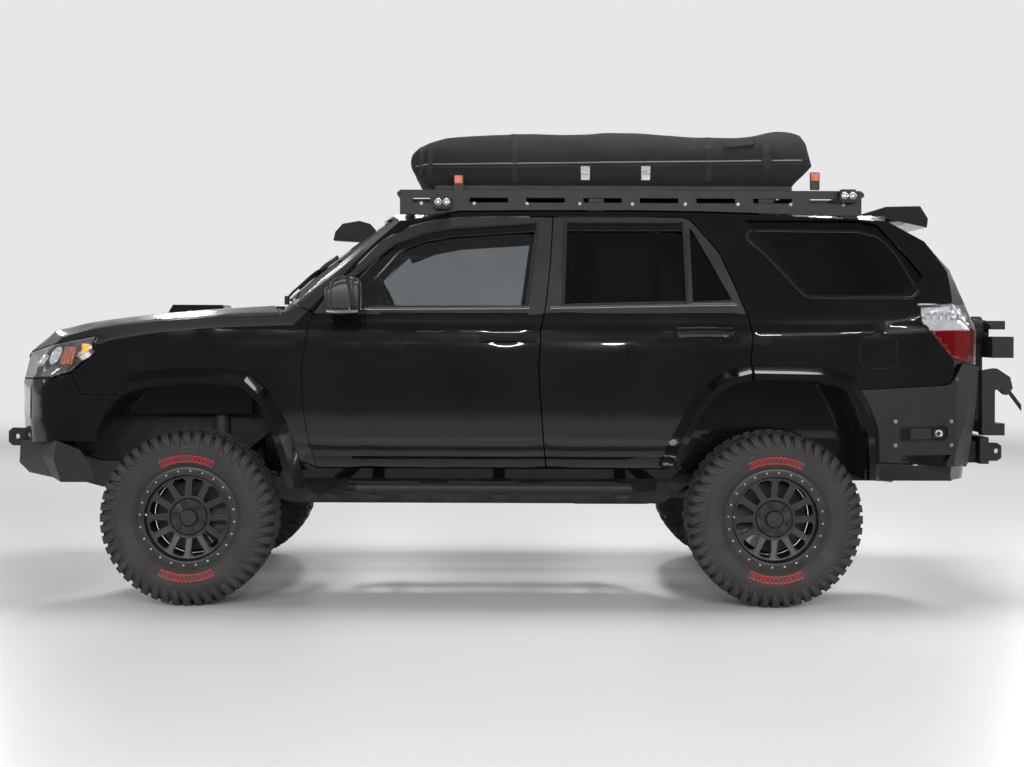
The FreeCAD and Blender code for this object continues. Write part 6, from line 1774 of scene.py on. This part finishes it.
def creased(mesh, amount, across, folds):
    """Presses soft folds into a skin: long ones, short ones and sharper ridges."""
    mesh.update()
    ways = [v.normal.copy() for v in mesh.vertices]
    for v, way in zip(mesh.vertices, ways):
        p = v.co
        long = noise.noise(Vector((p.x * folds[0], p.y * folds[1] + 3.1, p.z * folds[2])))
        spot = Vector((p.x * folds[0] * 3.4 + 9.0, p.y * folds[1] * 2.2, p.z * folds[2] * 2.6))
        fine = noise.noise(spot)
        spot = Vector((p.x * 2.2 + across * p.z * 5.0, p.y * 4.0, p.z * 7.0))
        ridge = 1.0 - abs(noise.noise(spot)) * 3.0
        v.co = p + way * amount * (0.55 * long + 0.25 * fine + 0.35 * max(-0.3, ridge) - 0.25)
    return mesh


def make_tent():
    """The folded roof tent's cover with its seam, zip, straps, clips and flap."""
    settings = bpy.context.scene.lifted_soft
    mesh = remeshed("roof_tent", settings.tent_cell, 6)
    mesh = inflated(mesh, TENT_PRESSURE, TENT_SWELL)
    mesh = creased(mesh, settings.tent_crease, 0.6, (2.4, 5.5, 9.0))
    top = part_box("roof_tent")[1][2]
    for v in mesh.vertices:
        v.co.z = min(v.co.z, top)
    plain(mesh, 60)
    cover = new_piece("tent_cover", mesh, "chassis", ("tent_fabric",), "tent_fabric", ("roof_tent",))
    finer = cover.modifiers.new("finer", "SUBSURF")
    finer.levels = finer.render_levels = 1
    shape = bmesh.new()
    shape.from_mesh(mesh)
    SKIN[("tent",)] = BVHTree.FromBMesh(shape)
    shape.free()
    skin = ("tent",)
    build = Builder("tent_details", "chassis")
    for sign in SIDES.values():
        seam = [(-0.470, 2.122), (-0.416, 2.133), (0.641, 2.148), (1.440, 2.158)]
        build.strip(skin, seam, sign, 0.001, circle_of(10, 0.0042), "piping", 0.03)
        zipped = [(x, z - 0.016) for x, z in seam]
        build.strip(skin, zipped, sign, 0.0005, flat_section(0.013, 0.0025), "black_plastic", 0.03)
        for x in (0.370, 0.669):
            build.strip(skin, [(x, 2.128), (x, 2.062)], sign, 0.003, flat_section(0.046, 0.005, 0.4),
                        "aluminium_parts", 0.02)
            place, way = on_side(skin, x, 2.094, sign, 0.008)
            half = Vector((0.016, 0, 0))
            build.sweep([place - half, place + half], flat_section(0.012, 0.006), "aluminium_parts", up=way)
        build.strip(skin, [(1.268, 2.250), (1.266, 2.110)], sign, 0.002, flat_section(0.040, 0.003),
                    "webbing", 0.02)
        place, way = on_side(skin, 1.267, 2.165, sign, 0.006)
        half = Vector((0, 0, 0.017))
        build.sweep([place - half, place + half], flat_section(0.052, 0.007), "black_plastic", up=way)
        build.strip(skin, [(1.060, 2.238), (1.205, 2.250)], sign, 0.002, flat_section(0.040, 0.004),
                    "webbing", 0.02)
        for x in (-0.440, -0.395):
            build.strip(skin, [(x, 2.215), (x - 0.008, 2.080)], sign, 0.002, flat_section(0.026, 0.003),
                        "webbing", 0.02)
    for x in (0.02, 0.98):
        band = []
        ways = []
        tree = SKIN[skin]
        for k in range(33):
            angle = math.radians(-18 + 216 * k / 32)
            aim = Vector((0, math.cos(angle), math.sin(angle)))
            place, normal, _, _ = tree.ray_cast(Vector((x, 0, 2.12)) + aim * 2, -aim)
            if place is None:
                continue
            if normal.dot(aim) < 0:
                normal = -normal
            band.append(place + normal * 0.002)
            ways.append(normal)
        build.sweep(band, flat_section(0.030, 0.0028), "webbing", up=ways)
    build.block((-0.375, -0.585, 2.006), (1.395, 0.585, 2.030), "satin_black", 0.004)
    build.done("tent_fabric")


def make_seats():
    """Padded seats with seams, in place of the plain solids."""
    mesh = remeshed("seats", 0.020, 5)
    mesh = inflated(mesh, SEAT_PRESSURE, SEAT_SWELL)
    for v in mesh.vertices:
        p = v.co
        pleat = abs(math.sin(p.y * math.pi / PLEAT_PITCH))
        v.co = p - v.normal * 0.004 * (1 - pleat) ** 3
    plain(mesh, 60)
    seats = new_piece("seats_padded", mesh, "chassis", ("seat_leather",), "seat_leather", ("seats",))


def make_steering_wheel():
    """A round rim with a padded hub and four spokes, about the column's axis."""
    joint = next(j for j in frame["record"]["behaviour"]["joints"] if j["name"] == "steering_wheel_turn")
    centre = Vector(joint["pos_m"])
    axis = Vector(joint["axis"]).normalized()
    points = [v.co - centre for v in NODES["steering_wheel"].data.vertices]
    radius = max((p - axis * p.dot(axis)).length for p in points) - 0.014
    ring_points = [p.dot(axis) for p in points if (p - axis * p.dot(axis)).length > radius - 0.02]
    level = sum(ring_points) / len(ring_points)
    build = Builder("steering_wheel_dressed", "steering_wheel")
    side = axis.cross(Vector((0, 1, 0))).normalized()
    across = axis.cross(side).normalized()
    middle = centre + axis * level
    ring = [middle + (side * u + across * v) * radius for u, v in circle_of(48)]
    build.tube(ring, 0.0145, "seat_leather", 14, closed=True)
    spoke = [(-0.017, -0.005), (0.017, -0.005), (0.013, 0.006), (-0.013, 0.006)]
    for angle in (0.0, math.pi, -math.pi / 2, math.pi / 2):
        out_way = side * math.cos(angle) + across * math.sin(angle)
        ends = [middle + out_way * 0.045 - axis * 0.004, middle + out_way * radius]
        build.sweep(ends, spoke, "black_plastic", up=axis)
    sign = 1 if sum(p.dot(axis) for p in points) / len(points) < level else -1
    hub = [(-0.014, 0.0), (-0.014, 0.062), (0.004, 0.066), (0.018, 0.052), (0.023, 0.0)]
    build.lathe(hub, middle, axis * sign, "seat_leather", 32)
    low = min(p.dot(axis) * sign for p in points)
    build.tube([middle, centre + axis * sign * low], 0.022, "black_plastic", 16)
    build.done("seat_leather", ("steering_wheel",))


# Rack, bumpers, carrier, steps, brakes
def make_rack_details():
    """Lamp pods and reflectors on the roof rack, with bolts along its side rails."""
    build = Builder("rack_details", "chassis")
    dish = [(-0.004, 0.0), (-0.002, 0.008), (0.004, 0.0165), (0.0025, 0.0180), (-0.006, 0.0180)]
    bulb = [(0.000, 0.0), (0.004, 0.0035), (0.0, 0.006)]
    for sign in SIDES.values():
        for x, z in ((-0.336, 1.940), (1.655, 1.977)):
            y = sign * 0.640
            face = y + sign * 0.052
            build.block((x - 0.043, y, z - 0.032), (x + 0.043, face, z + 0.032), "satin_black", 0.008)
            for dx in (-0.020, 0.020):
                build.lathe(dish, (x + dx, y + sign * 0.0525, z), (0, sign, 0), "lamp_reflector", 20)
                build.lathe(bulb, (x + dx, face, z), (0, sign, 0), "lit_white", 12)
            foot = y - sign * 0.03
            build.block((x - 0.006, foot, z - 0.008), (x + 0.006, y, z + 0.008), "satin_black", 0.002)
        for x, z in ((-0.257, 2.042), (1.498, 2.060)):
            y = sign * 0.628
            back, lens = y + sign * 0.010, y + sign * 0.016
            build.block((x - 0.024, y, z - 0.052), (x + 0.024, back, z + 0.036), "satin_black", 0.003)
            build.block((x - 0.019, y, z - 0.006), (x + 0.019, lens, z + 0.032), "amber_reflector", 0.003)
        for k in range(9):
            x = -0.44 + 0.26 * k
            place, way = on_side(("roof_rack",), x, 1.937, sign)
            build.bolt(place, way, 0.0055, "raw_steel")
    build.done("satin_black")


def make_bumper_details():
    """Bolts, slots and lamps of the rear bumper, and the studs of the spare wheel's carrier."""
    build = Builder("bumper_details", "chassis")
    slot = [(1.870, 0.792), (1.862, 0.800), (1.862, 0.846), (1.870, 0.854),
            (2.082, 0.860), (2.090, 0.852), (2.090, 0.806), (2.082, 0.798)]
    for sign in SIDES.values():
        for px, pz in ((1.836, 0.885), (2.112, 0.885), (1.836, 0.771), (2.112, 0.771), (2.140, 1.085)):
            try:
                place, way = on_side(("rear_bumper",), px, pz, sign)
            except RuntimeError:
                continue
            build.bolt(place, way, 0.0065, "raw_steel")
        found = [on_side(("rear_bumper",), x, z, sign, 0.0015) for x, z in slot]
        points, ways = [p for p, _ in found], [n for _, n in found]
        build.sweep(points, flat_section(0.010, 0.006), "gloss_trim", up=ways, closed=True)
        build.plate([p - n * 0.0008 for p, n in found], ways[0] * 0.0012, "smoked_plastic", 0.0)
        y = on_side(("rear_bumper",), 2.044, 0.828, sign)[0].y
        face = y + sign * 0.016
        build.block((2.018, y, 0.806), (2.070, face, 0.850), "black_plastic", 0.004)
        dish = [(-0.004, 0.0), (0.0, 0.010), (0.004, 0.0175), (0.001, 0.019)]
        build.lathe(dish, (2.044, face, 0.828), (0, sign, 0), "lamp_reflector", 20)
    build.done("satin_black")
    hub = Builder("carrier_studs", "carrier")
    mount = next(m for m in frame["record"]["mounts"] if m["name"] == "carrier_wheel_bolts")
    centre = Vector(mount["pos_m"])
    stud = [(-0.006, 0.0085), (0.004, 0.0085), (0.006, 0.0065), (0.020, 0.0060), (0.022, 0.0)]
    for u, v in circle_of(6, STUD_CIRCLE):
        hub.lathe(stud, centre + Vector((0, u, v)), (1, 0, 0), "raw_steel", 12)
    boss = [(-0.008, 0.036), (0.004, 0.036), (0.010, 0.030), (0.012, 0.0)]
    hub.lathe(boss, centre, (1, 0, 0), "satin_black", 32)
    hub.done("satin_black")


def make_step_treads():
    """Ribbed rubber pads on top of the side steps."""
    build = Builder("step_treads", "chassis")
    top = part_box("side_steps")[1][2]
    for sign in SIDES.values():
        for x in (-0.60, -0.13, 0.34):
            y0, y1 = sorted((sign * 0.890, sign * 0.945))
            build.block((x - 0.17, y0, top - 0.004), (x + 0.17, y1, top + 0.003), "black_plastic", 0.002)
            for k in range(9):
                px = x - 0.152 + 0.038 * k
                low, high = (px - 0.006, y0 + 0.004, top + 0.001), (px + 0.006, y1 - 0.004, top + 0.006)
                build.block(low, high, "black_plastic", 0.001)
    build.done("satin_black")


def two_arcs(centre, ahead, rows, steps):
    """An outline of two arcs round a wheel's middle, the second one run backwards."""
    outline = []
    for turn, (radius, span) in zip((1, -1), rows):
        for k in range(steps + 1):
            spot = polar(radius, turn * (-span + 2 * span * k / steps), 0)
            outline.append(centre + Vector((ahead * spot.x, 0, spot.z)))
    return outline


def make_brakes():
    """Calipers and splash shields behind the wheels' windows."""
    for place, (x, y) in WHEELS.items():
        side = place.split("_")[1]
        sign = SIDES[side]
        body = "knuckle_" + side if place.startswith("front") else "chassis"
        build = Builder("brake_" + place, body)
        centre = Vector((x, y, WHEEL_HEIGHT))
        disc_in, disc_out = disc_span(place)
        ahead = 1 if place.startswith("front") else -1
        outline = two_arcs(centre, ahead, ((0.150, 34), (0.192, 30)), 8)
        for low, high in ((disc_in - 0.030, disc_in - 0.004), (disc_out + 0.004, disc_out + 0.014)):
            ground = [p + Vector((0, sign * low, 0)) for p in outline]
            if high < 0.060:
                build.plate(ground, (0, sign * (high - low), 0), "caliper", 0.004)
        start = centre + Vector((0, sign * (disc_in - 0.006), 0))
        bridge = two_arcs(start, ahead, ((0.172, 24), (0.192, 24)), 6)
        build.plate(bridge, (0, sign * (disc_out + 0.008 - disc_in + 0.006), 0), "caliper", 0.003)
        shield = [(0.0, 0.070), (0.0, 0.184), (0.006, 0.187), (0.008, 0.184), (0.002, 0.180),
                  (0.002, 0.070)]
        start = centre + Vector((0, sign * (disc_in - 0.034), 0))
        build.lathe(shield, start, (0, sign, 0), "frame_paint", 48)
        build.done("cast_metal")


def disc_span(place):
    """How far out of the wheel's middle its brake disc's two faces lie."""
    x, y = WHEELS[place]
    sign = math.copysign(1, y)
    found = []
    for v in NODES["wheel_" + place].data.vertices:
        radius = math.hypot(v.co.x - x, v.co.z - WHEEL_HEIGHT)
        if DISC_RADIUS - 0.010 < radius < DISC_RADIUS:
            found.append((v.co.y - y) * sign)
    if not found:
        raise RuntimeError(f"no brake disc in wheel_{place}")
    return min(found), min(found) + DISC_THICKNESS


# Add-on
class LiftedStage(bpy.types.PropertyGroup):
    """The studio's colours."""

    floor_colour: FloatVectorProperty(
        name="Floor colour", description="Colour of the pale floor", subtype="COLOR",
        default=(0.78, 0.78, 0.79),
    )
    world_colour: FloatVectorProperty(
        name="World colour", description="Colour of the soft studio around", subtype="COLOR",
        default=(0.80, 0.80, 0.81),
    )
    curtain_share: FloatProperty(
        name="Curtain share", description="How much of the pale studio shiny things show from the side",
        min=0.0, max=1.0, default=0.42,
    )
    ceiling_colour: FloatVectorProperty(
        name="Ceiling colour", description="Colour of the studio overhead", subtype="COLOR",
        default=(0.16, 0.16, 0.17),
    )


class LiftedBody(bpy.types.PropertyGroup):
    """The body's sizes."""

    panel_grid: FloatProperty(
        name="Panel grid", description="Pitch of the grid that rounds the panels", subtype="DISTANCE",
        unit="LENGTH", default=0.045, min=0.02, max=0.2,
    )


class LiftedSoft(bpy.types.PropertyGroup):
    """The tent's cloth."""

    tent_cell: FloatProperty(
        name="Tent cell", description="Size of the cells of the tent's cover", subtype="DISTANCE",
        unit="LENGTH", default=0.026, min=0.015, max=0.1,
    )
    tent_crease: FloatProperty(
        name="Tent crease", description="Depth of the folds in the tent's cover", subtype="DISTANCE",
        unit="LENGTH", default=0.012, min=0.0, max=0.05,
    )


class LIFTED_OT_nodes(bpy.types.Operator):
    """Gives every part of the frame its own finish"""

    bl_idname = "lifted.nodes"
    bl_label = "Finish the CAD parts"

    def execute(self, context):
        finish_nodes()
        return {"FINISHED"}


class LIFTED_OT_panels(bpy.types.Operator):
    """Dresses the painted panels and doors"""

    bl_idname = "lifted.panels"
    bl_label = "Painted panels"

    def execute(self, context):
        make_panels()
        return {"FINISHED"}


class LIFTED_OT_wheels(bpy.types.Operator):
    """Makes the tyres' tread and dresses the wheels"""

    bl_idname = "lifted.wheels"
    bl_label = "Tyres and wheels"

    def execute(self, context):
        make_wheels()
        return {"FINISHED"}


class LIFTED_OT_chassis(bpy.types.Operator):
    """Breaks the edges of the bumpers, rack, steps, frame and running gear"""

    bl_idname = "lifted.chassis"
    bl_label = "Bumpers, rack and chassis"

    def execute(self, context):
        make_dressed()
        return {"FINISHED"}


class LIFTED_OT_doors(bpy.types.Operator):
    """Makes the belt strips, seals, deflectors, handles and mirror glasses"""

    bl_idname = "lifted.doors"
    bl_label = "Door trim"

    def execute(self, context):
        make_door_trim()
        return {"FINISHED"}


class LIFTED_OT_lamps(bpy.types.Operator):
    """Makes the head and tail lamps with what shows inside them"""

    bl_idname = "lifted.lamps"
    bl_label = "Lamps"

    def execute(self, context):
        make_headlamps()
        make_tail_lamps()
        return {"FINISHED"}


class LIFTED_OT_body_details(bpy.types.Operator):
    """Makes wipers, glass borders, grille mesh and the fuel door"""

    bl_idname = "lifted.body_details"
    bl_label = "Body details"

    def execute(self, context):
        make_glass_trim()
        make_front_details()
        make_body_details()
        return {"FINISHED"}


class LIFTED_OT_soft(bpy.types.Operator):
    """Makes the tent's cover, the seats and the steering wheel"""

    bl_idname = "lifted.soft"
    bl_label = "Tent, seats and steering wheel"

    def execute(self, context):
        make_tent()
        make_seats()
        make_steering_wheel()
        return {"FINISHED"}


class LIFTED_OT_fittings(bpy.types.Operator):
    """Makes rack lamps, bumper bolts, carrier studs, step treads and brakes"""

    bl_idname = "lifted.fittings"
    bl_label = "Fittings"

    def execute(self, context):
        make_rack_details()
        make_bumper_details()
        make_step_treads()
        make_brakes()
        return {"FINISHED"}


class LIFTED_OT_stage(bpy.types.Operator):
    """Makes the floor, the lamps, the world and the camera"""

    bl_idname = "lifted.stage"
    bl_label = "Stage"

    def execute(self, context):
        make_stage()
        return {"FINISHED"}


OPERATORS = (
    LIFTED_OT_nodes, LIFTED_OT_panels, LIFTED_OT_wheels, LIFTED_OT_chassis, LIFTED_OT_doors, LIFTED_OT_lamps,
    LIFTED_OT_body_details, LIFTED_OT_soft, LIFTED_OT_fittings, LIFTED_OT_stage,
)
SETTINGS = {"lifted_body": LiftedBody, "lifted_soft": LiftedSoft, "lifted_stage": LiftedStage}


class LIFTED_PT_panel(bpy.types.Panel):
    """The 4x4's sizes, colours and makers"""

    bl_label = "Lifted 4x4"
    bl_idname = "LIFTED_PT_panel"
    bl_space_type = "VIEW_3D"
    bl_region_type = "UI"
    bl_category = "Lifted 4x4"

    def draw(self, context):
        for settings in [getattr(context.scene, name) for name in SETTINGS]:
            for name in settings.bl_rna.properties.keys():
                if name not in ("rna_type", "name"):
                    self.layout.prop(settings, name)
        for operator in OPERATORS:
            self.layout.operator(operator.bl_idname)


CLASSES = (*SETTINGS.values(), *OPERATORS, LIFTED_PT_panel)


def register():
    for each in CLASSES:
        bpy.utils.register_class(each)
    for name, group in SETTINGS.items():
        setattr(bpy.types.Scene, name, PointerProperty(type=group))


def unregister():
    for name in SETTINGS:
        delattr(bpy.types.Scene, name)
    for each in reversed(CLASSES):
        bpy.utils.unregister_class(each)


def main():
    register()
    bpy.ops.lifted.nodes()
    bpy.ops.lifted.panels()
    bpy.ops.lifted.wheels()
    bpy.ops.lifted.chassis()
    bpy.ops.lifted.doors()
    bpy.ops.lifted.lamps()
    bpy.ops.lifted.body_details()
    bpy.ops.lifted.soft()
    bpy.ops.lifted.fittings()
    bpy.ops.lifted.stage()
    boxes = [[list(corner) for corner in box] for box in (CAD_BOX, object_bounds())]


if __name__ == "__main__":
    main()
